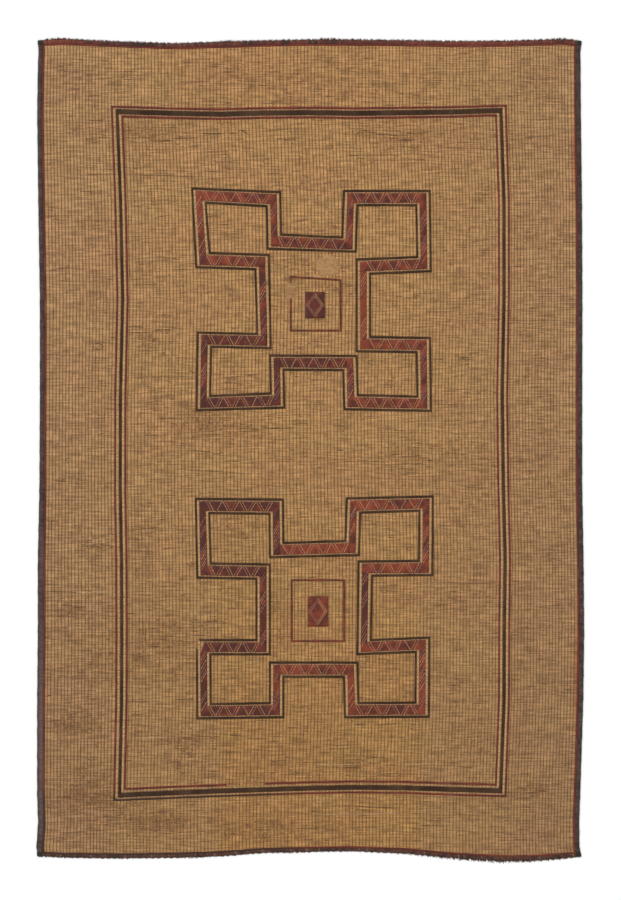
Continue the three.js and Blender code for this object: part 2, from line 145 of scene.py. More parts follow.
# The stepped crosses. Red leather and outlines are wider on runs across the mat than on runs along it. The
# thin lines are spread by wear to a little more than the width that they were cut to.
RED_ACROSS = 42
RED_ALONG = 28
OUTLINE_ACROSS = {"offset": 31.5, "width": 10}
OUTLINE_ALONG = {"offset": 30, "width": 8.5}
SQUARE_LINE = 8
BLOCK_NAMES = ["top_left", "top_right", "bottom_right", "bottom_left"]
BAR_NAMES = ["top", "right", "bottom", "left"]
CROSSES = [
    {
        "name": "upper",
        "centre": (5, 667),
        "blocks": [
            [(-220, 169), (-483, 178), (-501, 465), (-169, 449), (-165, 260)],
            [(167, 247), (174, 454), (496, 454), (501, 160), (231, 149)],
            [(231, -196), (498, -200), (501, -461), (176, -454), (171, -280)],
            [(-154, -278), (-151, -447), (-481, -458), (-476, -176), (-211, -182)],
        ],
        "square": {"left": -92, "right": 130, "top_left": 104, "top_right": 89, "bottom": -136},
        "worn": (76, 8),
        "patch": {"left": -28, "right": 59, "top": 36, "bottom": -81},
    },
    {
        "name": "lower",
        "centre": (18, -701),
        "blocks": [
            [(-228, 160), (-491, 165), (-498, 452), (-170, 449), (-168, 256)],
            [(168, 265), (174, 454), (497, 463), (495, 176), (226, 174)],
            [(221, -176), (481, -165), (479, -454), (166, -456), (161, -276)],
            [(-168, -276), (-168, -456), (-491, -461), (-493, -176), (-228, -176)],
        ],
        "square": {"left": -101, "right": 132, "top_left": 122, "top_right": 122, "bottom": -149},
        "worn": None,
        "patch": {"left": -30, "right": 61, "top": 50, "bottom": -84},
    },
]

# How far each cross's leather is from plum, 0, to brick, 1, in the order of the blocks and of the bars
SHADES = {
    "upper": {"blocks": (0.7, 0.5, 0.65, 0.2), "bars": (0.45, 0.95, 0.3, 0.4), "patch": 0.15},
    "lower": {"blocks": (0.1, 0.6, 0.7, 0.15), "bars": (0.9, 0.15, 0.75, 0.25), "patch": 0.5},
}

# One corner of the lower cross is worn through: how far before and after it the outline and the red leather
# stop
WORN_BLOCK = "bottom_left"
WORN_CORNER = 3
WORN_OUTLINE = (38, 11)
WORN_RED = (50, 18)

# The colours of the strokes on the red leather, as red, green and blue from 0 to 255
PINK = (166, 112, 92)
CREAM = (186, 144, 106)
OCHRE = (168, 118, 66)
DARK_GREEN = (60, 54, 40)
LAVENDER = (150, 106, 94)

# The pale reed ends and stitches beside the leather
STRAW = (204, 168, 118)
DULL_STRAW = (186, 146, 104)
ROSY_STRAW = (194, 156, 126)
DULL_ROSE = (156, 112, 84)

random = np.random.default_rng(7)


def srgb(red, green, blue):
    """A colour given from 0 to 255 as it looks on a screen, as the linear colour that a shader takes."""
    screen = np.array([red, green, blue]) / 255
    linear = np.where(screen <= 0.04045, screen / 12.92, ((screen + 0.055) / 1.055) ** 2.4)
    return (*linear.tolist(), 1.0)


# Where a point of the plan is

def ramp(start, end, place):
    """0 before start, 1 past end, and a straight line between."""
    return np.clip((place - start) / (end - start), 0, 1)


def between(stops, shifts, place):
    """Straight lines between four stops: the first shift, and each further one's rise times its ramp."""
    total = shifts[0]
    for low, high, before, after in zip(stops, stops[1:], shifts, shifts[1:]):
        total = total + (after - before) * ramp(low, high, place)
    return total


def lie(x, y):
    """Where plan points are on the mat as it lies: each is shifted sideways by what its y gives for the
    mat's edges and the frame's sides, and lengthways by what its x gives for the ends."""
    along = {name: np.interp(y, ALONG["y"], ALONG[name]) for name in ALONG.dtype.names}
    across = {name: np.interp(x, ACROSS["x"], ACROSS[name]) for name in ACROSS.dtype.names}
    sides = [along["left"], along["frame_left"], along["frame_right"], -along["right"]]
    ends = [across["bottom"], across["frame_bottom"], across["frame_top"], -across["top"]]
    side_stops = [-HALF_WIDTH, -FRAME_HALF_WIDTH, FRAME_HALF_WIDTH, HALF_WIDTH]
    end_stops = [-HALF_LENGTH, -FRAME_HALF_LENGTH, FRAME_HALF_LENGTH, HALF_LENGTH]
    return x + between(side_stops, sides, x), y + between(end_stops, ends, y)


def laid_at(x, y):
    """lie() as one array of [x, y] points."""
    return np.stack(lie(x, y), axis=-1)


def stops(rows, key, start, end):
    """From start to end with a stop at each of the table's rows between them."""
    inside = rows[key][(rows[key] > start) & (rows[key] < end)]
    return np.concatenate([[start], inside, [end]])


def rim_lift(x, y):
    """How far the flaps of the binding lift the field's rim: a ramp just inside each edge."""
    sideways = ramp(SIDE_RIM - RIM_SLOPE, SIDE_RIM, np.abs(x))
    lengthways = ramp(END_RIM - RIM_SLOPE, END_RIM, np.abs(y))
    return RIM_LIFT * np.maximum(sideways, lengthways)


# The plan's centre in the frame, from the upper patch's corner on both
upper = CROSSES[0]
patch_corner = np.array(upper["centre"]) + [upper["patch"]["left"], upper["patch"]["bottom"]]
PLAN_CENTRE = np.array(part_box("cross_upper_patch")[0][:2]) / MM - patch_corner


def in_frame(xy, z):
    """Laid points and their heights in millimetres as [x, y, z] in metres in the frame."""
    placed = xy + PLAN_CENTRE
    return np.concatenate([placed, np.broadcast_to(z, xy.shape[:-1])[..., None]], axis=-1) * MM


def waver(place, length, seed):
    """A smooth unevenness from -1 to 1: three sine waves whose lengths don't divide each other."""
    phases = np.random.default_rng(seed).uniform(0, 2 * np.pi, 3)
    waves = [np.sin(2 * np.pi * place / (length * stretch) + phase)
             for stretch, phase in zip((1, 0.618, 0.277), phases)]
    return (waves[0] + 0.6 * waves[1] + 0.4 * waves[2]) / 2


# Meshes

def add_piece(name, points, faces, material, replaced=()):
    """A smooth mesh that rides on the mat, from an array of points and a list of faces."""
    mesh = bpy.data.meshes.new(name)
    mesh.from_pydata(points.reshape(-1, 3).tolist(), [], faces)
    mesh.polygons.foreach_set("use_smooth", np.ones(len(mesh.polygons), bool))
    mesh.materials.append(material)
    mesh.update()
    piece = bpy.data.objects.new(name, mesh)
    bpy.context.scene.collection.objects.link(piece)
    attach(piece, "root")
    if replaced:
        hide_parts(*replaced)
    return piece


def volume(points, quads):
    """Six times the volume inside quads, each cut into two triangles: the sum of a . (b x c)."""
    a, b, c, d = (points[quads[:, i]] for i in range(4))
    halves = np.einsum("ij,ij->i", a, np.cross(b, c)) + np.einsum("ij,ij->i", a, np.cross(c, d))
    return halves.sum()


def end_cap(ring, wide):
    """The faces that fill in the end of a path: one for the whole ring, or, where it is wide and thin, a
    row of quads between its first half and its second."""
    if not wide:
        return [ring.tolist()]
    first, second = ring[:len(ring) // 2], ring[::-1][:len(ring) // 2]
    return np.stack([first[:-1], first[1:], second[1:], second[:-1]], axis=-1).tolist()


def carried(grid, closed=False, wide=False):
    """The faces of a section carried along a path: grid is [station, point of the section, xyz], and the
    section is a ring. The path is closed, or its two ends are filled in. Faces that would point inwards are
    turned round."""
    stations, ring = grid.shape[:2]
    number = np.arange(stations * ring).reshape(stations, ring)
    last = number if closed else number[:-1]
    following = np.roll(number, -1, axis=0) if closed else number[1:]
    quads = np.stack([
        last,
        np.roll(last, -1, axis=1),
        np.roll(following, -1, axis=1),
        following,
    ], axis=-1).reshape(-1, 4)
    caps = []
    if not closed:
        caps = [cap[::-1] for cap in end_cap(number[0], wide)] + end_cap(number[-1], wide)
    if volume(grid.reshape(-1, 3), quads) < 0:
        quads = quads[:, ::-1]
        caps = [cap[::-1] for cap in caps]
    return quads.tolist() + caps


def dye(piece, colours, each):
    """The piece's own colour at every point: each of the colours is for so many points in a row."""
    attribute = piece.data.color_attributes.new("thread", "FLOAT_COLOR", "POINT")
    attribute.data.foreach_set("color", np.repeat(colours, each, axis=0).reshape(-1))


def open_rows(count, stations, across):
    """The faces of many separate strips, each a grid of stations and points across. They face upwards."""
    number = np.arange(count * stations * across).reshape(count, stations, across)
    return np.stack([
        number[:, :-1, :-1],
        number[:, :-1, 1:],
        number[:, 1:, 1:],
        number[:, 1:, :-1],
    ], axis=-1).reshape(-1, 4).tolist()


# The field of reeds and its thongs

def reed_field(material):
    """Both faces of the field as one ring carried along the mat. Rows are at the middle of each reed and
    between two, where both faces go in by the depth of the groove, and the thickness is otherwise a
    reed's."""
    edge = HALF_WIDTH - LEATHER - GAP
    reach = END_WALL - LEATHER - GAP
    slope_end = SIDE_RIM - RIM_SLOPE
    inner = np.union1d(stops(ACROSS, "x", -slope_end, slope_end), THONG_X[1:-1])
    columns = np.concatenate([[-edge, -SIDE_RIM], inner, [SIDE_RIM, edge]])
    reeds = round(2 * reach / REED_PITCH)
    rows = np.linspace(-reach, reach, 2 * reeds + 1)
    x, y = np.meshgrid(columns, rows)
    groove = np.where(np.arange(len(rows)) % 2 == 0, REED_GROOVE, 0)[:, None]
    lift = rim_lift(x, y)
    laid = laid_at(x, y)
    top = in_frame(laid, lift + REED - groove)
    bottom = in_frame(laid, lift + groove)
    grid = np.concatenate([top, bottom[:, ::-1]], axis=1)
    field = add_piece("field_of_reeds", grid, carried(grid, wide=True), material, ["reed_field"])

    slope_left = (THONG_NUMBER[1] - THONG_NUMBER[0]) / (THONG_X[1] - THONG_X[0])
    thong = np.interp(columns, THONG_X, THONG_NUMBER)
    thong = thong + slope_left * (np.minimum(columns - THONG_X[0], 0) + np.maximum(columns - THONG_X[-1], 0))
    reed = np.linspace(0, reeds, len(rows))
    weave = np.zeros((len(rows), 2 * len(columns), 3))
    weave[..., 0] = np.concatenate([thong, thong[::-1]])
    weave[..., 1] = reed[:, None]
    weave[:, :len(columns), 2] = 1
    attribute = field.data.attributes.new("weave", "FLOAT_VECTOR", "POINT")
    attribute.data.foreach_set("vector", weave.reshape(-1))
    return field


# How a thong wanders sideways: the lengths and heights of its three waves
THONG_WAVES = ((640, 1.2), (250, 1.2), (90, 0.8))


def thong_lines(material):
    """Thin ribbons with a raised middle. The middle is at the top of a rib over the reeds and sinks between
    them at every other stop, which parts the thong into stitches. Each wanders on three sine waves of its
    own. Each half of the mat is one piece."""
    y = np.arange(-END_RIM, END_RIM, STITCH_REEDS * REED_PITCH)
    over = np.arange(len(y)) % 2 == 0
    for half, numbers in (("left", np.arange(0, THONGS // 2)), ("right", np.arange(THONGS // 2, THONGS))):
        count = len(numbers)
        middle = np.interp(numbers, THONG_NUMBER, THONG_X)[:, None]
        middle = middle + random.normal(0, THONG_SHAKE, (count, len(y)))
        for length, height in THONG_WAVES:
            middle = middle + height * np.sin(2 * np.pi * (y / length + random.random((count, 1))))
        staggered = over[None] ^ (numbers % 2 == 0)[:, None]
        half_width = np.where(staggered, THONG_WIDTH, THONG_WIDTH * THONG_NARROW) / 2
        half_width = half_width * random.uniform(0.85, 1.15, (count, 1))
        x = middle[..., None] + half_width[..., None] * np.array([-1, 0, 1])
        rise = np.where(staggered, THONG_RIB, THONG_SUNK)[..., None] * np.array([0, 1, 0])
        sink = np.array([REED_GROOVE, 0, REED_GROOVE])
        lift = rim_lift(x, y[None, :, None])
        laid = laid_at(x, np.broadcast_to(y[None, :, None], x.shape))
        grid = in_frame(laid, lift + REED + rise - sink)
        faces = open_rows(count, len(y), 3)
        add_piece(f"thongs_{half}", grid, faces, material)


# Where the reeds are dirtier: the middle and reach of each soft spot in millimetres, and how strong it is
STAINS = table("x y reach_x reach_y strength", [
    (-713, 1402, 330, 110, 0.6),
    (-469, 133, 330, 160, 0.7),
    (399, 1380, 260, 90, 0.4),
    (-313, -356, 200, 130, 0.5),
    (-736, -890, 520, 300, 0.55),
    (-1003, -1513, 240, 190, 0.8),
    (-246, -1691, 420, 100, 0.6),
    (978, -1513, 200, 150, 0.5),
    (500, -20, 500, 150, 0.4),
    (-1050, -1210, 150, 90, 0.9),
    (-690, -1650, 260, 90, 0.8),
    (-560, -1290, 120, 90, 0.5),
    (-820, -1560, 200, 60, 0.6),
    (-580, -1392, 40, 60, 0.6),
    (-720, 500, 130, 100, 0.5),
    (-960, -430, 80, 45, 0.7),
    (-1085, -710, 80, 60, 0.5),
    (-450, -765, 110, 40, 0.5),
    (680, 405, 60, 40, 0.4),
    (735, -610, 170, 70, 0.4),
    (190, -1400, 110, 50, 0.5),
    (0, 1600, 1000, 330, 0.35),
    (0, 780, 300, 420, 0.35),
    (60, -1380, 700, 260, 0.3),
])

# Broken and dirty reeds, on the mat as it lies: where each starts, how far it runs across and up, and how
# much it shows. A pale one is below 0.
MARKS = table("x y run rise strength", [
    (-660, 1375, 44, 0, 0.9), (-616, 1383, 118, 7, 0.8), (-487, 1407, 108, 0, 0.9),
    (-364, 1408, 42, 2, 0.7), (-324, 1411, 12, 13, 0.9), (-313, 1424, 36, -16, 0.9),
    (-188, 1421, 82, 6, 0.5), (-153, 1384, 92, -3, 0.7), (-467, 1327, 105, 0, 0.35),
    (-199, 1229, 70, 2, 0.5), (-590, 1639, 120, -2, 0.3), (-1000, 1227, 134, 0, 0.4),
    (-820, 1227, 284, -10, 0.4), (-99, 1774, 92, 0, 0.6), (-690, 1036, 66, 8, 0.4),
    (-69, 1014, 60, 12, 0.5), (284, 1406, 116, -8, 0.8), (385, 1380, 85, 0, 0.9), (400, 1376, 60, -3, 0.7),
    (415, 1408, 110, 2, 0.8), (172, 1312, 230, 0, 0.6), (172, 1311, 40, -1, 0.8),
    (554, 1347, 278, -10, 0.35), (470, 1288, 40, 6, 0.4), (940, 1387, 140, 14, 0.25),
    (385, 1587, 30, 0, 0.3), (-682, 861, 92, -11, 0.4), (-614, 852, 26, -4, 0.8), (-812, 548, 70, 0, 0.6),
    (-808, 522, 96, 0, 0.7), (-785, 324, 256, 1, 0.6), (-364, 323, 72, 4, 0.8), (-290, 328, 74, 16, 0.6),
    (-537, 352, 32, -12, 0.6), (-1157, 800, 32, -2, 0.5), (-1172, 538, 62, 0, 0.4),
    (-682, 142, 100, -2, 0.6), (-222, 99, 150, -3, 0.8), (-179, 93, 36, 4, 0.9), (-54, 122, 46, -6, 0.5),
    (-950, 69, 38, 6, 0.6), (-743, 65, 70, 0, 0.5), (-352, 540, 32, 2, 0.5), (902, 819, 44, -2, 0.7),
    (99, 107, 54, 0, 0.8), (370, 88, 52, -4, 0.7), (616, 268, 108, 3, 0.3), (0, 311, 62, -2, 0.4),
    (-437, -18, 32, 0, 0.9), (-407, -18, 18, 8, 0.9), (-536, 0, 100, -12, 0.6), (-387, -50, 74, 0, 0.6),
    (-544, -92, 160, -3, 0.7), (-1142, -137, 44, -2, 0.8), (-640, -178, 28, 0, 0.6),
    (-207, -157, 92, -5, 0.4), (-820, -360, 146, 16, 0.4), (-820, -396, 56, 0, 0.6),
    (-996, -424, 74, -12, 0.6), (-912, -373, 48, -2, 0.5), (-816, -447, 130, -6, 0.4),
    (-660, -440, 60, 5, 0.6), (-1184, -628, 140, -4, 0.5), (-1040, -634, 168, 3, -0.8),
    (-912, -718, 48, 0, 0.5), (-820, -730, 40, 3, 0.8), (-536, -768, 146, 5, 0.4),
    (-530, -776, 120, 4, -0.4), (-122, -616, 32, -8, 0.5), (118, 0, 32, -2, 0.9), (464, -62, 34, 4, 0.8),
    (518, -48, 24, 3, 0.9), (540, -590, 286, -6, 0.35), (662, -743, 70, 0, -0.6), (340, -388, 40, -2, 0.6),
    (-728, -874, 54, -2, 0.8), (-700, -872, 26, -5, 0.9), (-785, -937, 42, 4, 0.5),
    (-605, -1110, 92, 3, 0.6), (-558, -1079, 22, 3, 0.9), (-1170, -1092, 20, 0, 0.8),
    (-793, -1281, 160, 3, -0.7), (-516, -1294, 16, -1, 0.9), (-360, -1268, 62, -6, 0.7),
    (-299, -1280, 115, -6, 0.5), (-184, -1384, 86, 4, 0.8), (-452, -1430, 46, -1, 0.8),
    (-927, -1632, 106, -3, 0.6), (-90, 742, 1, -27, 0.7), (-107, -1235, 46, 1, 0.6),
    (196, -1221, 58, -1, 0.9), (284, -1219, 100, -3, 0.6), (440, -1239, 22, -3, 0.8),
    (600, -1035, 148, 4, 0.4), (15, -1399, 205, 0, -0.6), (145, -1411, 80, -3, 0.8),
    (323, -1440, 155, -3, 0.8), (400, -1397, 170, 1, -0.7), (193, -1586, 186, -8, 0.7),
    (0, -1622, 460, 6, -0.45), (154, -1682, 190, 5, 0.5), (494, -1671, 38, 3, 0.8),
    (624, -1284, 74, 0, 0.4), (656, -1408, 68, -6, 0.6), (139, -1362, 100, 8, 0.5),
])

# Small curls of loose thong: the middle, the size, where each starts and how far round it goes in turns
CURLS = table("x y size start turn", [
    (-163, 1543, 8, 0.1, 0.7), (-195, 1285, 13, 0.1, 0.8), (-1166, 1273, 7, 0.5, 0.7),
    (-1135, 1022, 9, 0.0, 0.8), (-120, 996, 9, 0.2, 0.5), (200, 1414, 11, 0.3, 0.7),
    (222, 1406, 8, 0.8, 0.8), (465, 1348, 11, 0.5, 0.6), (86, 1348, 10, 0.7, 0.5),
    (-939, 460, 14, 0.6, 0.6), (-635, 528, 8, 0.0, 0.8), (-1120, 414, 9, 0.3, 0.5),
    (-268, 590, 12, 0.4, 0.7), (276, 390, 14, 0.2, 0.6), (469, 685, 8, 0.0, 0.9),
    (-1098, -136, 6, 0.5, 0.8), (-1073, -46, 12, 0.2, 0.4), (-535, -507, 10, 0.4, 0.8),
    (963, -100, 13, 0.7, 0.5), (443, -440, 10, 0.1, 0.8), (330, -625, 12, 0.5, 0.5),
    (-1050, -1180, 11, 0.2, 0.5), (-985, -1560, 10, 0.6, 0.6), (-35, 452, 9, 0.1, 0.7),
])

# Marks and curls. First the stops along each and how many random ones there are. Then how long a small mark
# is at the least, on average and at the most, what share of them is pale, how closely they crowd round a
# stain, and how far they and the curls keep from the bindings. Last the section, the widths, the curls'
# shape and the colours.
MARK_STOPS = 12
SMALL_MARKS = 1500
SMALL_CURLS = 70
SMALL_RUN = (7, 20, 110)
PALE_SHARE = 0.06
CROWDING = 0.55
RIM_CLEAR = 60
CURL_CLEAR = 80
CURL_ROUND = (1.25, 0.8)
CURL_WIDTH = (1.6, 2.8)
MARK_SECTION = (0.05, 0.45, 0.05)
MARK_WIDTH = (2.8, 4.2)
SMALL_WIDTH = (1.6, 3.4)
FAINT = (140, 104, 70)
BURNT = (62, 40, 24)
BLEACHED = (198, 164, 120)


def ribbons(name, paths, widths, colours, material, lifted=0.0):
    """Low ribbons along laid paths, an array of [ribbon, stop, xy]. Their sides lie half a width to the
    left and the right of each stop, and their middle is a little higher. They may be lifted off the
    reeds."""
    along = np.gradient(paths, axis=1)
    along = along / np.maximum(np.linalg.norm(along, axis=2, keepdims=True), 1e-6)
    sideways = np.stack([-along[..., 1], along[..., 0]], axis=-1)[:, :, None]
    off = np.array([1, 0, -1])[:, None] * widths[:, :, None, None] / 2
    grid = in_frame(paths[:, :, None] + sideways * off, REED + lifted + np.array(MARK_SECTION))
    piece = add_piece(name, grid, open_rows(*paths.shape[:2], 3), material)
    dye(piece, colours, 3 * paths.shape[1])


def faded(strength, plain=FAINT):
    """From the colour of plain reeds to nearly black brown as the strength goes from 0 to 1, or to bleached
    at -1."""
    share = np.abs(strength)[:, None]
    ends = np.where(strength[:, None] < 0, np.array(srgb(*BLEACHED)), np.array(srgb(*BURNT)))
    return (1 - share) * np.array(srgb(*plain)) + share * ends


def reed_marks(material):
    """The named marks and many small ones, crowded where the reeds are dirty. Each runs straight from its
    start by its run and rise, and steps up and down by part of a reed on the way. It tapers at both
    ends."""
    crowd = random.choice(len(STAINS), SMALL_MARKS // 2, p=STAINS["strength"] / STAINS["strength"].sum())
    inside = np.array([SIDE_RIM, END_RIM]) - RIM_CLEAR
    near = np.stack([random.normal(STAINS[axis][crowd], STAINS[f"reach_{axis}"][crowd] * CROWDING)
                     for axis in "xy"], axis=-1)
    anywhere = random.uniform(-inside, inside, (SMALL_MARKS - len(crowd), 2))
    small = np.clip(np.concatenate([near, anywhere]), -inside, inside)
    least, mean, most = SMALL_RUN
    run = np.clip(random.exponential(mean, SMALL_MARKS), least, most)
    strength = random.uniform(0.15, 0.75, SMALL_MARKS)
    strength = strength * np.where(random.random(SMALL_MARKS) < PALE_SHARE, -1, 1)
    named = np.stack([MARKS["x"], MARKS["y"]], axis=-1)
    start = np.concatenate([named, small])
    named_reach = np.stack([MARKS["run"], MARKS["rise"]], axis=-1)
    reach = np.concatenate([named_reach, np.stack([run, 0 * run], axis=-1)])
    strength = np.concatenate([MARKS["strength"], strength])
    share = np.linspace(0, 1, MARK_STOPS)
    paths = start[:, None] + reach[:, None] * share[:, None]
    paths[..., 1] += random.normal(0, 0.8, paths.shape[:2])
    taper = np.clip(np.minimum(share, 1 - share) * 6, 0.25, 1)
    width = [random.uniform(*MARK_WIDTH, len(MARKS)), random.uniform(*SMALL_WIDTH, SMALL_MARKS)]
    widths = np.concatenate(width)[:, None] * taper * random.uniform(0.6, 1.25, paths.shape[:2])
    ribbons("reed_marks", paths, widths, faded(strength), material)


# Places where new reeds are laid over the thongs: the middle, how far they reach, and how dark they are
NEW_REEDS = table("x y reach_x reach_y strength", [
    (-84, 708, 26, 46, 0.1),
    (-96, 762, 30, 10, 0.5),
    (78, 820, 56, 44, -0.05),
    (30, 770, 24, 8, -0.3),
    (-205, 742, 20, 16, 0.35),
])
FRESH = (170, 130, 85)
OVERLAP = 1.05


def new_reeds(material):
    """Short reeds laid side by side across each mended place, longest in its middle, with ragged ends."""
    for number, mend in enumerate(NEW_REEDS):
        y = np.arange(-mend["reach_y"], mend["reach_y"], REED_PITCH)
        oval = np.sqrt(1 - (y / (mend["reach_y"] * OVERLAP)) ** 2)
        half = mend["reach_x"] * oval * random.uniform(0.75, 1.1, len(y))
        shift = random.normal(0, 3, len(y))
        share = np.linspace(-1, 1, MARK_STOPS)
        x = mend["x"] + shift[:, None] + half[:, None] * share
        height = mend["y"] + y[:, None] + random.normal(0, 0.25, x.shape)
        widths = np.broadcast_to(REED_PITCH * OVERLAP, x.shape)
        strength = mend["strength"] + random.normal(0, 0.12, len(y))
        colours = faded(strength, FRESH)
        paths = np.stack([x, height], axis=-1)
        ribbons(f"new_reeds_{number + 1}", paths, widths, colours, material, THONG_RIB)


def thong_curls(material):
    """Loose curls: arcs of a slightly flattened circle round each middle."""
    middle = random.uniform(-1, 1, (SMALL_CURLS, 2)) * [SIDE_RIM - CURL_CLEAR, END_RIM - CURL_CLEAR]
    size = random.uniform(3, 8, SMALL_CURLS)
    start = random.random(SMALL_CURLS)
    turn = random.uniform(0.3, 0.9, SMALL_CURLS)
    middle = np.concatenate([np.stack([CURLS["x"], CURLS["y"]], axis=-1), middle])
    size, start, turn = (np.concatenate([CURLS[column], more])[:, None]
                         for column, more in (("size", size), ("start", start), ("turn", turn)))
    angle = 2 * np.pi * (start + turn * np.linspace(0, 1, MARK_STOPS))
    ring = np.stack([CURL_ROUND[0] * np.cos(angle), CURL_ROUND[1] * np.sin(angle)], axis=-1) * size[..., None]
    widths = np.broadcast_to(random.uniform(*CURL_WIDTH, (len(size), 1)), angle.shape)
    strength = np.concatenate([np.full(len(CURLS), 0.75), random.uniform(0.3, 0.7, SMALL_CURLS)])
    ribbons("thong_curls", middle[:, None] + ring, widths, faded(strength), material)


# Leather strips

# How much wider the left binding is in the lower half of the mat, and the y between which it widens
LEFT_SPREAD = 5
SPREAD_FROM = 100
SPREAD_TO = -400

# A strip's section and cut: how far apart its stops are, how far in and how far down its edge is rounded,
# how high its crown is, how much its edges waver, and on what lengths the two edges and the crown do
BAND_STEP = 12
BAND_EDGE = 0.8
BAND_SIDE = 0.6
BAND_CROWN = 0.12
EDGE_WAVER = 0.45
WAVER_LENGTHS = (130, 110, 70)


def spaced(outer, inner, closed):
    """Both edges of a strip with more stops on every straight stretch, as many as its longer edge needs."""
    if closed:
        outer, inner = (np.concatenate([edge, edge[:1]]) for edge in (outer, inner))
    lengths = np.maximum(*(np.linalg.norm(np.diff(edge, axis=0), axis=1) for edge in (outer, inner)))
    counts = np.maximum(1, np.round(lengths / BAND_STEP)).astype(int)
    shares = np.concatenate([i + np.arange(n) / n for i, n in enumerate(counts)] + [[len(counts)]])
    if closed:
        shares = shares[:-1]
    corner = np.arange(len(outer))
    return [np.stack([np.interp(shares, corner, edge[:, axis]) for axis in (0, 1)], axis=-1)
            for edge in (outer, inner)]


def leather_band(node, outer, inner, bottom, top, material, slot, closed=False, shade=0.5, part=""):
    """A strip between two edges. Its section goes up the outer side, over a rounded edge and a low crown,
    and down the inner side. The edges waver a little, as cut by hand. A part after the first doesn't
    replace the solid."""
    outer, inner = spaced(np.array(outer, float), np.array(inner, float), closed)
    width = np.linalg.norm(inner - outer, axis=1, keepdims=True)
    across = (inner - outer) / width
    place = np.cumsum(np.linalg.norm(np.diff(outer, axis=0, prepend=outer[:1]), axis=1))[:, None]
    seed = sum(map(ord, node))
    wavers = [waver(place, length, seed + more) for more, length in enumerate(WAVER_LENGTHS)]
    outer = outer + across * EDGE_WAVER * wavers[0]
    inner = inner + across * EDGE_WAVER * wavers[1]
    round_in = BAND_EDGE / width
    still = np.zeros_like(width)
    share = np.concatenate([still, still, round_in, still + 0.25, still + 0.5, still + 0.75,
                            1 - round_in, still + 1, still + 1], axis=1)
    xy = outer[:, None] + (inner - outer)[:, None] * share[..., None]
    crown = BAND_CROWN * (1 + wavers[2])
    shoulder = np.array([bottom, top - LEATHER + BAND_SIDE, top])
    z = np.concatenate([shoulder + 0 * crown, top + crown, top + 1.3 * crown, top + crown,
                        shoulder[::-1] + 0 * crown], axis=1)
    grid = in_frame(xy, z)
    replaced = [] if part else [node]
    piece = add_piece(f"{node}{part}_leather", grid, carried(grid, closed), material, replaced)
    attribute = piece.data.attributes.new("shade", "FLOAT", "POINT")
    attribute.data.foreach_set("value", np.full(len(piece.data.vertices), shade))


def wide_share(y):
    """How much of its whole spread the left binding has: none in the mat's upper half, and all lower."""
    return ramp(SPREAD_FROM, SPREAD_TO, y)


def strip_along(node, centre_x, width, low, high, bottom, top, material, slot, shift=0):
    """A strip along the mat, bent with it at each stop, and shifted where the left binding is wide."""
    y = stops(ALONG, "y", low, high)
    middle = centre_x + shift * wide_share(y)
    edges = [laid_at(middle + half * width, y) for half in (-0.5, 0.5)]
    leather_band(node, *edges, bottom, top, material, slot)


def strip_across(node, centre_y, width, left, right, bottom, top, material, slot):
    """A strip across the mat, bent with it at each stop."""
    x = stops(ACROSS, "x", left, right)
    edges = [laid_at(x, np.full_like(x, centre_y + half * width)) for half in (0.5, -0.5)]
    leather_band(node, *edges, bottom, top, material, slot)


def edge_lines(material):
    """The thin red strips just inside the bindings."""
    side_at = HALF_WIDTH - SIDE_FLAP - GAP - SIDE_LINE / 2
    end_width = END_LINE - LINE_WORN
    end_at = END_WALL - END_FLAP - GAP - end_width / 2
    end_reach = HALF_WIDTH - SIDE_FLAP - GAP
    side_reach = end_at - end_width / 2 - GAP
    look = (LINE_BOTTOM, LINE_TOP, material, "red_leather")
    for side, end, way in (("left", "bottom", -1), ("right", "top", 1)):
        shift = LEFT_SPREAD if side == "left" else 0
        strip_along(f"side_line_{side}", way * side_at, SIDE_LINE, -side_reach, side_reach, *look, shift)
        strip_across(f"end_line_{end}", way * end_at, end_width, -end_reach, end_reach, *look)


def frame_strips(red, dark):
    """The frame's three strips on each side. The ends run the whole width, with the sides between them."""
    for strip in FRAME_STRIPS:
        name = strip["name"]
        leather, slot = (dark, "dark_leather") if name == "frame_band" else (red, "red_leather")
        look = (STRIP_BOTTOM, STRIP_TOP, leather, slot)
        side_at = FRAME_HALF_WIDTH + strip["side"]
        top_at = FRAME_HALF_LENGTH + strip["top"]
        bottom_at = -FRAME_HALF_LENGTH - strip["bottom"]
        width, end_width = strip["side_width"], strip["end_width"]
        reach = side_at + width / 2
        low = bottom_at + end_width / 2 + GAP
        high = top_at - end_width / 2 - GAP
        strip_along(f"{name}_left", -side_at, width, low, high, *look)
        strip_along(f"{name}_right", side_at, width, low, high, *look)
        strip_across(f"{name}_top", top_at, end_width, -reach, reach, *look)
        if name == "frame_line_inner":
            strip_across(f"{name}_bottom_left", bottom_at, end_width, -reach, WORN_FROM, *look)
            strip_across(f"{name}_bottom_right", bottom_at, end_width, WORN_TO, reach, *look)
        else:
            strip_across(f"{name}_bottom", bottom_at, end_width, -reach, reach, *look)


# The crosses

def outwards(before, here, after):
    """Which way is outwards at a corner of a clockwise path: x from its upright run, y from its level one."""
    arriving, leaving = here - before, after - here
    arrives_level = abs(arriving[0]) > abs(arriving[1])
    level, upright = (arriving, leaving) if arrives_level else (leaving, arriving)
    return np.array([-np.sign(upright[1]), np.sign(level[0])])


def cross_corners(cross):
    """The twenty corners of a cross and the outward direction at each."""
    placed = np.array(cross["blocks"], float).reshape(-1, 2) + cross["centre"]
    before, after = np.roll(placed, 1, axis=0), np.roll(placed, -1, axis=0)
    return placed, np.array([outwards(*three) for three in zip(before, placed, after)])


def either_side(edge, corner, before, after):
    """The points of an edge that lie so far before and after one of its corners."""
    here = edge[corner]
    ways = ((edge[corner - 1] - here, before), (edge[corner + 1] - here, after))
    return np.array([here + way * reach / np.linalg.norm(way) for way, reach in ways])


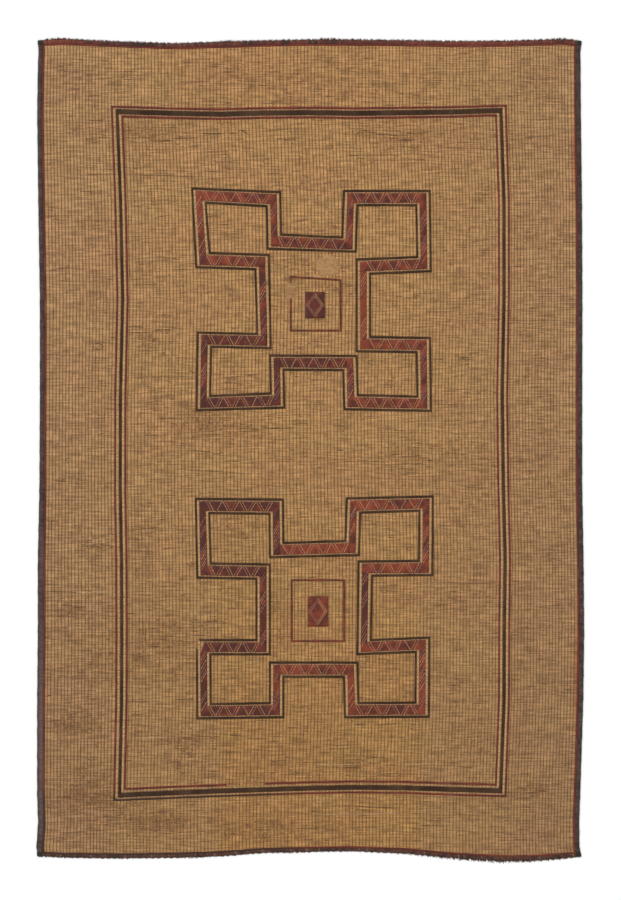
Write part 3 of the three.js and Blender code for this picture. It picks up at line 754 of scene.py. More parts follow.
def is_worn(cross, block):
    """Whether this is the block whose corner is worn through."""
    return (cross["name"], block) == ("lower", WORN_BLOCK)


def red_leather_of(cross, corners, normals, material):
    """The blocks of red leather, each with the squares at both its ends, and the bars between them."""
    half = np.array([RED_ALONG, RED_ACROSS]) / 2
    look = (STRIP_BOTTOM, STRIP_TOP, material, "red_leather")
    shades = SHADES[cross["name"]]
    for b, (block, bar) in enumerate(zip(BLOCK_NAMES, BAR_NAMES)):
        five, facing = corners[5 * b:5 * b + 5], normals[5 * b:5 * b + 5]
        outer, inner = five + facing * half, five - facing * half
        for end, inside in ((0, 1), (4, 3)):
            level = abs(five[end] - five[inside])
            run = 0 if level[0] > level[1] else 1
            far = five[end][run] + np.sign(five[end] - five[inside])[run] * half[run]
            outer[end][run] = far
            inner[end][run] = far
        if is_worn(cross, block):
            cut = either_side(outer, WORN_CORNER, *WORN_RED)
            outer = np.concatenate([outer[:WORN_CORNER], cut, outer[WORN_CORNER + 1:]])
            inner = np.insert(inner, WORN_CORNER, inner[WORN_CORNER], axis=0)
        leather_band(f"cross_{cross['name']}_block_{block}", outer, inner, *look, shade=shades["blocks"][b])

        start, end = five[4], corners[(5 * b + 5) % len(corners)]
        run = 1 if b % 2 else 0
        along = np.eye(2)[run]
        across = np.eye(2)[1 - run] * half
        clear = along * np.sign(end - start) * (half + GAP)
        line = np.array([start + clear, end - clear])
        edges = (line + across, line - across)
        leather_band(f"cross_{cross['name']}_bar_{bar}", *edges, *look, shade=shades["bars"][b])


def outlines_of(cross, corners, normals, material):
    """The dark outlines: one strip a block on each side of the red, cut at the middle of each bar."""
    count = len(corners)
    offset = np.array([OUTLINE_ALONG["offset"], OUTLINE_ACROSS["offset"]])
    half = np.array([OUTLINE_ALONG["width"], OUTLINE_ACROSS["width"]]) / 2
    for side, way in (("outer", 1), ("inner", -1)):
        edges = [corners + normals * (way * offset + far * half) for far in (1, -1)]
        for b, block in enumerate(BLOCK_NAMES):
            numbers = np.arange(5 * b - 1, 5 * b + 6) % count
            runs = [edge[numbers].copy() for edge in edges]
            for run in runs:
                for end, inside in ((0, 1), (-1, -2)):
                    stretch = run[end] - run[inside]
                    run[end] = run[inside] + stretch * (0.5 - GAP / np.linalg.norm(stretch))
            look = (STRIP_BOTTOM, STRIP_TOP, material, "dark_leather")
            node = f"cross_{cross['name']}_{side}_line_{block}"
            if side == "outer" and is_worn(cross, block):
                corner = WORN_CORNER + 1
                cuts = [either_side(run, corner, *WORN_OUTLINE) for run in runs]
                before = [np.concatenate([run[:corner], cut[:1]]) for run, cut in zip(runs, cuts)]
                after = [np.concatenate([cut[1:], run[corner + 1:]]) for run, cut in zip(runs, cuts)]
                leather_band(node, *before, *look)
                leather_band(node, *after, *look, part="_after_wear")
            else:
                leather_band(node, *runs, *look)


def centre_of(cross, material):
    """The centre square's line, open where it is worn away, and the patch inside it."""
    look = (STRIP_BOTTOM, STRIP_TOP, material, "red_leather")
    square, patch = cross["square"], cross["patch"]
    corners = np.array([
        (square["left"], square["top_left"]),
        (square["right"], square["top_right"]),
        (square["right"], square["bottom"]),
        (square["left"], square["bottom"]),
    ], float)
    facing = np.array([(-1, 1), (1, 1), (1, -1), (-1, -1)])
    edges = [corners + facing * half * SQUARE_LINE + cross["centre"] for half in (0.5, -0.5)]
    closed = cross["worn"] is None
    if not closed:
        start, end = (height + cross["centre"][1] for height in cross["worn"])
        edges = [np.concatenate([[(edge[0][0], start)], edge, [(edge[0][0], end)]]) for edge in edges]
    leather_band(f"cross_{cross['name']}_square_line", *edges, *look, closed=closed)

    sides = [[(patch[side], patch["top"]), (patch[side], patch["bottom"])] for side in ("left", "right")]
    edges = np.array(sides) + cross["centre"]
    leather_band(f"cross_{cross['name']}_patch", *edges, *look, shade=SHADES[cross["name"]]["patch"])


# Stitches

# How narrow a stitch is at its ends, and how high the embroidery, the seams and the small mends stand
STITCH_END = 0.55
STROKE_HEIGHT = 0.5
SEAM_HEIGHT = 1.5
MEND_HEIGHT = 1.2

# The embroidery: how long one stitch of a stroke is, how wide it is, how far the strokes keep from the red
# leather's edges on its level and on its upright runs, and how large the two lozenges are beside the patch
STROKE_STITCH = 15
STROKE_WIDTH = 2.6
CLEAR_ACROSS = 1
CLEAR_ALONG = 2.5
LOZENGES = (0.88, 0.68)

# The zigzag on level runs: how far apart its pairs of strokes are, how far each stroke leans, how far apart
# the two of a pair are, and the colours of the pairs with how often each comes
ZIGZAG_PITCH = 39
ZIGZAG_SLANT = 22
PAIR_APART = 12
ZIGZAG_PAIRS = ((OCHRE, CREAM), (CREAM, PINK), (PINK, CREAM), (DARK_GREEN, CREAM))
ZIGZAG_CHANCES = (0.35, 0.25, 0.25, 0.15)

# The groups of strokes on upright runs: how many are in one, from 3 to 6, the step from one to the next, how
# far each rises, the plain leather after a group, and the colours with how often each comes
SLANT_GROUP = (3, 7)
SLANT_STEP = (14, 22)
SLANT_RISE = 42
PLAIN_LEATHER = (15, 85)
SLANT_COLOURS = (PINK, LAVENDER, CREAM, DARK_GREEN)
SLANT_CHANCES = (0.35, 0.35, 0.15, 0.15)

# The pale seams: the pitch of their stitches, how much of it a stitch fills, which ones are dull, the reed
# ends' length and how it varies, the small stitches' width, and how far out from the red leather both lie
SEAM_PITCH = 7
SEAM_FILLED = 0.72
DULL_EVERY = 3
RUNG_LENGTH = 9
RUNG_VARIES = (0.8, 1.05)
SEAM_WIDTH = 2.8
SEAM_OUT_ALONG = 5.6
SEAM_OUT_ACROSS = 2.8

# The frame's outer and inner seam: how far out from its plan size each lies at the sides, top and bottom
FRAME_SEAMS = ((13, 14, 15), (-13, -13.5, -16))


def stitched(points, share, pitch):
    """Stitches along a bent line at an even pitch, each filling its share of the pitch."""
    steps = np.linalg.norm(np.diff(points, axis=0), axis=1)
    place = np.concatenate([[0], np.cumsum(steps)])
    count = max(1, round(place[-1] / pitch))
    centre = (np.arange(count) + 0.5) * place[-1] / count
    half = share * place[-1] / count / 2
    ends = [np.stack([np.interp(at, place, points[:, axis]) for axis in (0, 1)], axis=-1)
            for at in (centre - half, centre + half)]
    return np.stack(ends, axis=1)


def stitch_mesh(name, segments, colours, width, height, bottom, material, slot):
    """Raised stitches, each a low ridge of three sections, narrow at its ends and full in the middle."""
    start, end = segments[:, 0], segments[:, 1]
    along = (end - start) / np.linalg.norm(end - start, axis=1, keepdims=True)
    sideways = np.stack([-along[:, 1], along[:, 0]], axis=-1)
    share = np.array([0, 0.5, 1])[None, :, None, None]
    swell = np.array([STITCH_END, 1, STITCH_END])[None, :, None, None]
    off = np.array([1, 0, -1])[:, None] * swell * np.broadcast_to(width, len(start))[:, None, None, None] / 2
    xy = start[:, None, None] + (end - start)[:, None, None] * share + sideways[:, None, None] * off
    z = np.array([0, 1, 0]) * height * np.array([0.5, 1, 0.5])[:, None]
    grid = in_frame(xy, np.broadcast_to(bottom, len(start))[:, None, None] + z)
    piece = add_piece(name, grid, open_rows(len(start), 3, 3), material)
    dye(piece, [srgb(*colour) for colour in colours], 3 * 3)


def zigzag_strokes(start, end):
    """Double strokes that lean one way and the other by turns, along a level run of red leather."""
    length = np.linalg.norm(end - start)
    along = (end - start) / length
    along = along if along[0] > 0 else -along
    low = start if start[0] < end[0] else end
    up = np.array([-along[1], along[0]])
    half = RED_ACROSS / 2 - CLEAR_ACROSS
    count = max(2, round(length / ZIGZAG_PITCH))
    strokes, colours = [], []
    for k in range(count):
        centre = low + along * (k + 0.5) * length / count
        lean = along * ZIGZAG_SLANT / 2 * (-1 if k % 2 == 0 else 1)
        pair = ZIGZAG_PAIRS[random.choice(len(ZIGZAG_PAIRS), p=ZIGZAG_CHANCES)]
        for side, colour in zip((-0.5, 0.5), pair):
            middle = centre + along * side * PAIR_APART
            strokes.append((middle - up * half - lean, middle + up * half + lean))
            colours.append(colour)
    return strokes, colours


def slanted_strokes(start, end):
    """Groups of steep parallel strokes along an upright run of red leather, and plain leather between."""
    low, high = (start, end) if start[1] < end[1] else (end, start)
    length = high[1] - low[1]
    lean = np.array([RED_ALONG / 2 - CLEAR_ALONG, SLANT_RISE / 2])
    strokes, colours = [], []
    height = 0
    while height < length:
        for _ in range(random.integers(*SLANT_GROUP)):
            middle = low + (high - low) * min(height, length) / length
            strokes.append((middle - lean, middle + lean))
            colours.append(SLANT_COLOURS[random.choice(len(SLANT_COLOURS), p=SLANT_CHANCES)])
            height += random.uniform(*SLANT_STEP)
        height += random.uniform(*PLAIN_LEATHER)
    return strokes, colours


def turned(segments, length):
    """Stitches given a new length and turned by a quarter about their middles."""
    middle = segments.mean(axis=1)
    along = segments[:, 1] - segments[:, 0]
    across = np.stack([-along[:, 1], along[:, 0]], axis=-1) * length / 2
    across = across / np.linalg.norm(along, axis=1, keepdims=True)
    return np.stack([middle - across, middle + across], axis=1)


def seam_stitches(seam, upright):
    """The pale stitches of one seam with their widths and colours: short reed ends side by side where the
    seam is upright, and a row of small rosy stitches where it is level."""
    stitches = stitched(seam, SEAM_FILLED, SEAM_PITCH)
    widths = np.full(len(stitches), SEAM_WIDTH)
    if upright:
        widths = np.linalg.norm(stitches[:, 1] - stitches[:, 0], axis=1)
        stitches = turned(stitches, RUNG_LENGTH * random.uniform(*RUNG_VARIES, (len(stitches), 1)))
    bright, dull = (STRAW, DULL_STRAW) if upright else (ROSY_STRAW, DULL_ROSE)
    return stitches, widths, [bright if k % DULL_EVERY else dull for k in range(len(stitches))]


def sew_seams(name, seams, material, slot):
    """All of a thing's seams, each a path and whether it is upright, as one piece."""
    stitches, widths, colours = zip(*(seam_stitches(*seam) for seam in seams))
    look = (np.concatenate(widths), SEAM_HEIGHT, REED, material, slot)
    stitch_mesh(name, np.concatenate(stitches), sum(colours, []), *look)


def lozenge(cross):
    """Two lozenges, one inside the other, on the patch."""
    patch = cross["patch"]
    centre = np.array([patch["left"] + patch["right"], patch["top"] + patch["bottom"]]) / 2 + cross["centre"]
    half = np.array([patch["right"] - patch["left"], patch["top"] - patch["bottom"]]) / 2
    strokes = []
    for share in LOZENGES:
        tips = centre + np.array([(0, 1), (1, 0), (0, -1), (-1, 0)]) * half * share
        strokes += list(zip(tips, np.roll(tips, -1, axis=0)))
    return strokes, [CREAM, CREAM, PINK, PINK] * 2


def embroidery_of(cross, corners, normals, material):
    """All the strokes on a cross's red leather, and the pale stitches along both edges of it."""
    strokes, colours = lozenge(cross)
    seams = []
    half = np.array([RED_ALONG, RED_ACROSS]) / 2
    count = len(corners)
    for i in range(count):
        start, end = corners[i], corners[(i + 1) % count]
        run = int(abs(end - start)[1] > abs(end - start)[0])
        inset = np.eye(2)[run] * np.sign(end - start) * half
        more = (slanted_strokes if run else zigzag_strokes)(start + inset, end - inset)
        strokes += more[0]
        colours += more[1]
        for way in (1, -1):
            out = way * (half + (SEAM_OUT_ALONG if run else SEAM_OUT_ACROSS))
            seam = np.array([start + normals[i] * out, end + normals[(i + 1) % count] * out])
            seams.append((seam, bool(run)))
    lines = [stitched(np.array(stroke), 1.0, STROKE_STITCH) for stroke in strokes]
    repeated = [colour for line, colour in zip(lines, colours) for _ in range(len(line))]
    name = cross["name"]
    look = (STROKE_WIDTH, STROKE_HEIGHT, STRIP_TOP + 0.1, material, "red_leather")
    stitch_mesh(f"cross_{name}_strokes", np.concatenate(lines), repeated, *look)
    sew_seams(f"cross_{name}_seams", seams, material, "red_leather")


def frame_seams(material):
    """The pale stitches in both gaps between the frame's strips, all round."""
    rows = []
    for off_side, off_top, off_bottom in FRAME_SEAMS:
        side = FRAME_HALF_WIDTH + off_side
        top, bottom = FRAME_HALF_LENGTH + off_top, -FRAME_HALF_LENGTH - off_bottom
        x = stops(ACROSS, "x", -side, side)
        y = stops(ALONG, "y", bottom, top)
        rows += [(laid_at(x, np.full_like(x, height)), False) for height in (top, bottom)]
        rows += [(laid_at(np.full_like(y, way * side), y), True) for way in (-1, 1)]
    sew_seams("frame_seams", rows, material, "reeds")


# The threads of the small mends
WHITE = (206, 188, 168)
BLUE = (84, 92, 122)
RUST = (132, 66, 50)
DARK = (70, 46, 30)

# Small mends and loose stitches: where each starts, its run and rise, its width and its colour
MENDS = [
    ((-240, -1498), (4, -13), 3.6, WHITE), ((-336, -1497), (6, -11), 3.4, WHITE),
    ((-352, -1486), (2, -12), 3, RUST), ((-368, -1484), (22, 1), 3.0, RUST),
    ((-322, -1480), (3, -12), 2.6, RUST), ((-300, -1482), (30, -1), 2.8, RUST),
    ((-262, -1474), (3, -14), 2.6, RUST), ((-286, -1470), (26, 1), 2.6, RUST),
    ((-137, -1757), (1, -17), 4.2, BLUE), ((-137, -1777), (-1, -11), 3.8, BLUE),
    ((-964, 472), (30, 2), 2.4, DARK), ((-964, 472), (0, -24), 2.4, DARK),
    ((-964, 448), (20, -2), 2.4, DARK), ((-934, 474), (2, -10), 2.2, DARK),
]


def small_mends(material):
    """The small mends, as stitches that lie on the reeds."""
    starts, ways, widths, colours = zip(*MENDS)
    segments = np.stack([starts, np.add(starts, ways)], axis=1).astype(float)
    stitch_mesh("small_mends", segments, colours, np.array(widths), MEND_HEIGHT, REED, material, "reeds")


# The bindings

def folded_section(flap):
    """A thin leather folded round an edge, as points (how far in, height) round its section."""
    high = BINDING_HEIGHT
    return np.array([
        (flap, high - LEATHER), (flap - 0.2, high - 0.3), (flap * 0.6, high), (flap * 0.25, high + 0.1),
        (1.6, high - 0.2), (0.4, high - 1.4), (0, high / 2), (0.3, 1.0), (1.4, 0), (flap * 0.5, 0), (flap, 0),
        (flap, LEATHER), (LEATHER + 0.6, LEATHER), (LEATHER, high / 2), (LEATHER + 0.6, high - LEATHER),
    ])


# The bindings: how far apart their stops are, and how far in they bulge
SIDE_STEP = 11.0
END_STEP = 7.0
BULGE_REACH = 8

# The whip stitches over the side and the end bindings: how far apart they are and how unevenly, how far in
# each one's two ends are and how far along the second one is, and how wide and how high they are. Then how
# far they keep from the corners, the side ones' pale and dark colours, and how often the pale one comes.
SIDE_WHIP = {"pitch": 16.0, "uneven": 1.5, "holes": ((SIDE_FLAP - 1.5, 0), (3.0, 5)), "size": (2.0, 0.7)}
END_WHIP = {"pitch": 8.5, "uneven": 0.8, "holes": ((END_FLAP - 1, 0), (0.8, 3)), "size": (2.6, 1.0)}
SIDE_WHIP_CLEAR = 30
END_WHIP_CLEAR = 6
SIDE_WHIP_SHADES = ((104, 94, 90), (66, 54, 47))
SIDE_WHIP_PALE = 0.3


def whip_stitches(way_in, whip, reach):
    """Stitches at an even pitch from -reach to reach, each a little off its place."""
    at = np.arange(-reach, reach, whip["pitch"])
    at = at + random.normal(0, whip["uneven"], len(at))
    return np.stack([way_in(np.full_like(at, inward), at + slant) for inward, slant in whip["holes"]], axis=1)


def binding(name, stations, section, bulge, place, material):
    """The folded section carried along an edge. Its outer part bulges out by an amount that changes along
    it, and its top rises and falls a little."""
    inward, z = section[:, 0], section[:, 1]
    outer_share = ramp(BULGE_REACH, 0, inward)
    pushed = inward[None] - bulge[:, None] * outer_share[None]
    lumps = 0.35 * waver(stations, 45, len(name)) + 0.2 * waver(stations, 17, len(name) + 1)
    raised = z[None] + lumps[:, None] * ramp(LEATHER, BINDING_HEIGHT, z)[None]
    grid = in_frame(place(pushed, np.broadcast_to(stations[:, None], pushed.shape)), raised)
    add_piece(f"{name}_leather", grid, carried(grid), material, [name])


def side_place(way):
    """Where a point so far in from a side's edge and at a y is on the mat. The left binding spreads."""
    spread = LEFT_SPREAD / SIDE_FLAP if way < 0 else 0

    def place(inward, y):
        return laid_at(way * (HALF_WIDTH - inward * (1 + spread * wide_share(y))), y)

    return place


def end_place(way):
    """Where a point so far in from an end's edge and at an x is on the mat."""
    return lambda inward, x: laid_at(x, way * (END_WALL - inward))


def side_bindings(left_leather, right_leather, thread):
    """The side bindings, with a whip stitch across them every so often."""
    for name, way, material in (("left", -1, left_leather), ("right", 1, right_leather)):
        y = np.union1d(np.arange(-HALF_LENGTH, HALF_LENGTH, SIDE_STEP), ALONG["y"])
        bulge = 0.9 + 0.8 * waver(y, 90, 11 + way)
        place = side_place(way)
        section = folded_section(SIDE_FLAP)
        binding(f"side_binding_{name}", y, section, bulge, place, material)
        whip = whip_stitches(place, SIDE_WHIP, HALF_LENGTH - SIDE_WHIP_CLEAR)
        colours = [SIDE_WHIP_SHADES[0 if random.random() < SIDE_WHIP_PALE else 1] for _ in whip]
        look = (*SIDE_WHIP["size"], BINDING_HEIGHT + 0.2, thread, "binding_leather")
        stitch_mesh(f"side_whip_{name}", whip, colours, *look)


# How far out the top and the bottom binding bulge on average
TOP_BULGE = 2.6
BOTTOM_BULGE = 1.6

# The whip stitches' colours on each end binding, and how often each comes
TOP_WHIP = ((44, 32, 28), (92, 46, 36), (120, 60, 42), (66, 42, 34), (150, 100, 80))
BOTTOM_WHIP = ((70, 46, 35), (94, 60, 44), (48, 34, 27), (82, 54, 41), (150, 118, 94))
END_WHIP_CHANCES = (0.3, 0.27, 0.2, 0.15, 0.08)


def end_bindings(top_leather, bottom_leather, thread):
    """The end bindings, lumpier than the sides, with a close whip stitch across them."""
    reach = HALF_WIDTH - SIDE_FLAP - GAP
    for name, way, material, shades in (("top", 1, top_leather, TOP_WHIP),
                                        ("bottom", -1, bottom_leather, BOTTOM_WHIP)):
        x = np.union1d(np.arange(-reach, reach, END_STEP), stops(ACROSS, "x", -reach, reach))
        mean = TOP_BULGE if way > 0 else BOTTOM_BULGE
        bulge = mean * (1 + waver(x, 60, 5 + way)) * (0.6 + 0.4 * waver(x, 310, 8 + way))
        place = end_place(way)
        section = folded_section(END_FLAP)
        binding(f"end_binding_{name}", x, section, bulge, place, material)
        whip = whip_stitches(place, END_WHIP, reach - END_WHIP_CLEAR)
        colours = [shades[k] for k in random.choice(len(shades), len(whip), p=END_WHIP_CHANCES)]
        look = (*END_WHIP["size"], BINDING_HEIGHT + 0.1, thread, "end_leather")
        stitch_mesh(f"end_whip_{name}", whip, colours, *look)


# Where the cut ends stand out furthest: the middle and the reach of each hump, and how far it stands out
TOP_HUMPS = ((-1129, 40, 6), (-360, 30, 7), (86, 55, 7), (1134, 45, 5))
BOTTOM_HUMPS = ((800, 330, 12), (-520, 60, 4), (-60, 70, 4))

# The cut ends at the top and the bottom: which way they point, how many there are and how far the longest
# reach away from the humps. Then the faces of one, and their colours with how often each comes.
TUFT_ROWS = (("top", 1, 5200, 16, TOP_HUMPS), ("bottom", -1, 4400, 11, BOTTOM_HUMPS))
TUFT_FACES = ((0, 1, 3), (1, 2, 3), (2, 0, 3), (1, 0, 2))
TUFT_SHADES = ((72, 48, 37), (104, 64, 46), (136, 96, 70), (56, 42, 35))
TUFT_CHANCES = (0.3, 0.4, 0.1, 0.2)

# One cut end: its length beside the longest, how far it leans beside its length, and its width and height at
# the root. Then the length of the clumps that they stand in.
TUFT_LENGTH = (0.4, 1)
TUFT_LEAN = 0.45
TUFT_WIDTH = (1.6, 4.0)
TUFT_HEIGHT = (0.8, 3.5)
TUFT_CLUMP = 28


def hump_height(humps, x):
    """How much further the cut ends stand out: each hump falls off as a bell curve."""
    return sum(height * np.exp(-((x - middle) / reach) ** 2) for middle, reach, height in humps)


def tufts(thread):
    """The thongs' cut ends: short bristles that lie level on the floor and fan out from under each end
    binding. Each is a three-sided spike, wide at its root."""
    reach = HALF_WIDTH - SIDE_FLAP - GAP
    for name, way, count, longest, humps in TUFT_ROWS:
        x = random.uniform(-reach, reach, count)
        clumps = 0.68 + 0.32 * waver(x, TUFT_CLUMP, 21 + way)
        length = random.uniform(*TUFT_LENGTH, count) * (longest + hump_height(humps, x)) * clumps
        lean = random.normal(0, TUFT_LEAN, count) * length
        width = random.uniform(*TUFT_WIDTH, count)
        place = end_place(way)
        root = place(np.full(count, 1.0), x)
        tip = place(-length, x + lean)
        sideways = np.array([1.0, 0.0]) * width[:, None] / 2
        height = random.uniform(*TUFT_HEIGHT, count)
        points = np.stack([
            in_frame(root - sideways, 0.1),
            in_frame(root + sideways, 0.1),
            in_frame(root, height),
            in_frame(tip, 0.2),
        ], axis=1)
        number = np.arange(count * 4).reshape(count, 4)
        faces = number[:, np.array(TUFT_FACES)]
        faces = faces if way < 0 else faces[..., ::-1]
        piece = add_piece(f"tufts_{name}", points, faces.reshape(-1, 3).tolist(), thread)
        shades = np.array([srgb(*shade) for shade in TUFT_SHADES])
        dye(piece, shades[random.choice(len(shades), count, p=TUFT_CHANCES)], 4)


# The corner pads: their size, how square their outline is, and the share of it and the height of each ring
CAP = 25
CAP_SQUARENESS = 5
CAP_RINGS = ((0.94, 0.0), (1.0, 1.6), (1.0, 4.0), (0.93, 5.8), (0.75, 6.6), (0.4, 6.9), (0.05, 7.0))


def corner_caps(material):
    """A soft square pad of dark leather folded over each corner: rings of a rounded square that draw in as
    they rise, above a flat underside."""
    turn = np.linspace(0, 2 * np.pi, 40, endpoint=False)
    power = CAP_SQUARENESS
    roundness = (np.abs(np.cos(turn)) ** power + np.abs(np.sin(turn)) ** power) ** (-1 / power)
    around = np.stack([np.cos(turn), np.sin(turn)], axis=-1) * roundness[:, None] * CAP / 2
    for end, up in (("top", 1), ("bottom", -1)):
        for side, right in (("left", -1), ("right", 1)):
            centre = np.array([right * (HALF_WIDTH - CAP / 2 + 2), up * (HALF_LENGTH - CAP / 2 + 1)])
            rings = [(laid_at(*(centre + around * share).T), height) for share, height in CAP_RINGS]
            grid = np.stack([in_frame(*ring) for ring in rings])
            add_piece(f"corner_cap_{end}_{side}", grid, carried(grid), material)


# Materials

class Recipe:
    """The nodes of a material or group. A value may be a number, a colour or another node's output."""

    def __init__(self, tree):
        self.tree = tree

    def feed(self, socket, value):
        """Sets a socket to a value, or links another node's output to it."""
        if isinstance(value, bpy.types.NodeSocket):
            self.tree.links.new(value, socket)
        else:
            socket.default_value = value

    def put(self, kind, inputs=None, **settings):
        """A new node with its settings and its inputs."""
        node = self.tree.nodes.new(kind)
        for name, value in settings.items():
            setattr(node, name, value)
        for name, value in (inputs or {}).items():
            self.feed(node.inputs[name], value)
        return node

    def math(self, operation, first, second=0.0, clamp=False):
        """One sum on one or two values."""
        inputs = {0: first, 1: second}
        return self.put("ShaderNodeMath", inputs, operation=operation, use_clamp=clamp).outputs[0]

    def smooth(self, value, low, high, start=0.0, end=1.0):
        """From start to end as the value goes from low to high, with soft ends."""
        inputs = {"Value": value, "From Min": low, "From Max": high, "To Min": start, "To Max": end}
        return self.put("ShaderNodeMapRange", inputs, interpolation_type="SMOOTHSTEP").outputs[0]

    def mix(self, share, first, second, blend="MIX"):
        """A share of the second colour laid over the first."""
        node = self.put("ShaderNodeMix", data_type="RGBA", blend_type=blend, clamp_result=True)
        self.feed(node.inputs[0], share)
        self.feed(node.inputs[6], first)
        self.feed(node.inputs[7], second)
        return node.outputs[2]

    def vector(self, x, y=0.0, z=0.0):
        """Three values as one vector."""
        return self.put("ShaderNodeCombineXYZ", {0: x, 1: y, 2: z}).outputs[0]

    def parts(self, vector):
        """The three values of a vector."""
        return self.put("ShaderNodeSeparateXYZ", {0: vector}).outputs

    def stretched(self, vector, x, y, z=1.0):
        """A vector with each of its values multiplied."""
        return self.put("ShaderNodeMapping", {"Vector": vector, "Scale": (x, y, z)}).outputs[0]

    def noise(self, vector, scale, detail=2.0, roughness=0.5):
        """A soft cloudy value from 0 to 1."""
        inputs = {"Vector": vector, "Scale": scale, "Detail": detail, "Roughness": roughness}
        return self.put("ShaderNodeTexNoise", inputs).outputs["Fac"]

    def chance(self, x, y=0.0):
        """A value from 0 to 1 that is random for each pair of numbers."""
        return self.put("ShaderNodeTexWhiteNoise", {"Vector": self.vector(x, y)}).outputs["Value"]

    def group(self, tree, inputs):
        """The outputs of a node group with its inputs set."""
        node = self.put("ShaderNodeGroup", node_tree=tree)
        for name, value in inputs.items():
            self.feed(node.inputs[name], value)
        return node.outputs


def new_group(name, inputs, outputs):
    """A shader node group with named inputs and outputs, its recipe, and the two nodes at its ends."""
    tree = bpy.data.node_groups.new(name, "ShaderNodeTree")
    for socket, kind in inputs.items():
        tree.interface.new_socket(socket, in_out="INPUT", socket_type=kind)
    for socket, kind in outputs.items():
        tree.interface.new_socket(socket, in_out="OUTPUT", socket_type=kind)
    recipe = Recipe(tree)
    return tree, recipe, recipe.put("NodeGroupInput").outputs, recipe.put("NodeGroupOutput").inputs


def new_material(name, roughness, specular):
    """A material with one Principled shader: its recipe, its shader's inputs and its place on the piece."""
    material = bpy.data.materials.new(name)
    material.use_nodes = True
    recipe = Recipe(material.node_tree)
    shader = material.node_tree.nodes["Principled BSDF"].inputs
    shader["Roughness"].default_value = roughness
    shader["Specular IOR Level"].default_value = specular
    place = recipe.put("ShaderNodeTexCoord").outputs["Object"]
    return material, recipe, shader, place


def leather_grain_group():
    """Leather: a height of fine pores and soft creases, a slow change of tone, and a mask of rubbed
    places."""
    sockets = {"Place": "NodeSocketVector", "Scale": "NodeSocketFloat"}
    results = {"Height": "NodeSocketFloat", "Tone": "NodeSocketFloat", "Rubbed": "NodeSocketFloat"}
    tree, recipe, given, result = new_group("leather_grain", sockets, results)
    scaled = recipe.put("ShaderNodeVectorMath", {0: given["Place"]}, operation="SCALE")
    recipe.feed(scaled.inputs["Scale"], given["Scale"])
    scaled = scaled.outputs[0]
    cells = recipe.put("ShaderNodeTexVoronoi", {"Vector": scaled, "Scale": 900.0}, feature="F1")
    pores = cells.outputs["Distance"]
    creases = recipe.noise(scaled, 160.0, 5.0, 0.6)
    recipe.feed(result["Height"], recipe.math("ADD", recipe.math("MULTIPLY", pores, 0.4), creases))
    recipe.feed(result["Tone"], recipe.noise(scaled, 5.5, 3.0, 0.6))
    rubbed = recipe.noise(scaled, 38.0, 6.0, 0.7)
    recipe.feed(result["Rubbed"], recipe.smooth(rubbed, 0.56, 0.72))
    return tree


def soiling_group():
    """Dirt in soft blotches longer across the mat than along it. Amount moves how much of it shows."""
    sockets = {"Place": "NodeSocketVector", "Amount": "NodeSocketFloat"}
    tree, recipe, given, result = new_group("soiling", sockets, {"Mask": "NodeSocketFloat"})
    flat = recipe.stretched(given["Place"], 1.0, 2.1)
    blotch = recipe.noise(flat, 9.0, 6.0, 0.68)
    level = recipe.math("ADD", blotch, recipe.math("MULTIPLY", given["Amount"], 0.35))
    recipe.feed(result["Mask"], recipe.smooth(level, 0.56, 0.86))
    return tree


def bump(recipe, shader, height, strength, distance):
    """Height above the surface, as a normal."""
    node = recipe.put("ShaderNodeBump", {"Height": height, "Strength": strength, "Distance": distance})
    recipe.feed(shader["Normal"], node.outputs[0])


# Where the red of the right line has bled into the reeds beside it
BLEEDING = table("x y reach_x reach_y strength", [
    (1174, 1300, 18, 300, 0.6),
    (1182, -1020, 18, 440, 0.55),
])


def spots(recipe, place, rows):
    """The sum of soft round spots: each fades from its middle to its reach."""
    total = 0.0
    for row in rows:
        centre = ((row["x"] + PLAN_CENTRE[0]) * MM, (row["y"] + PLAN_CENTRE[1]) * MM, 0.0)
        away = recipe.put("ShaderNodeVectorMath", {0: place, 1: centre}, operation="SUBTRACT").outputs[0]
        away = recipe.stretched(away, 1 / (row["reach_x"] * MM), 1 / (row["reach_y"] * MM), 0.0)
        length = recipe.put("ShaderNodeVectorMath", {0: away}, operation="LENGTH").outputs["Value"]
        total = recipe.math("ADD", total, recipe.smooth(length, 1.0, 0.1, 0.0, row["strength"]))
    return total


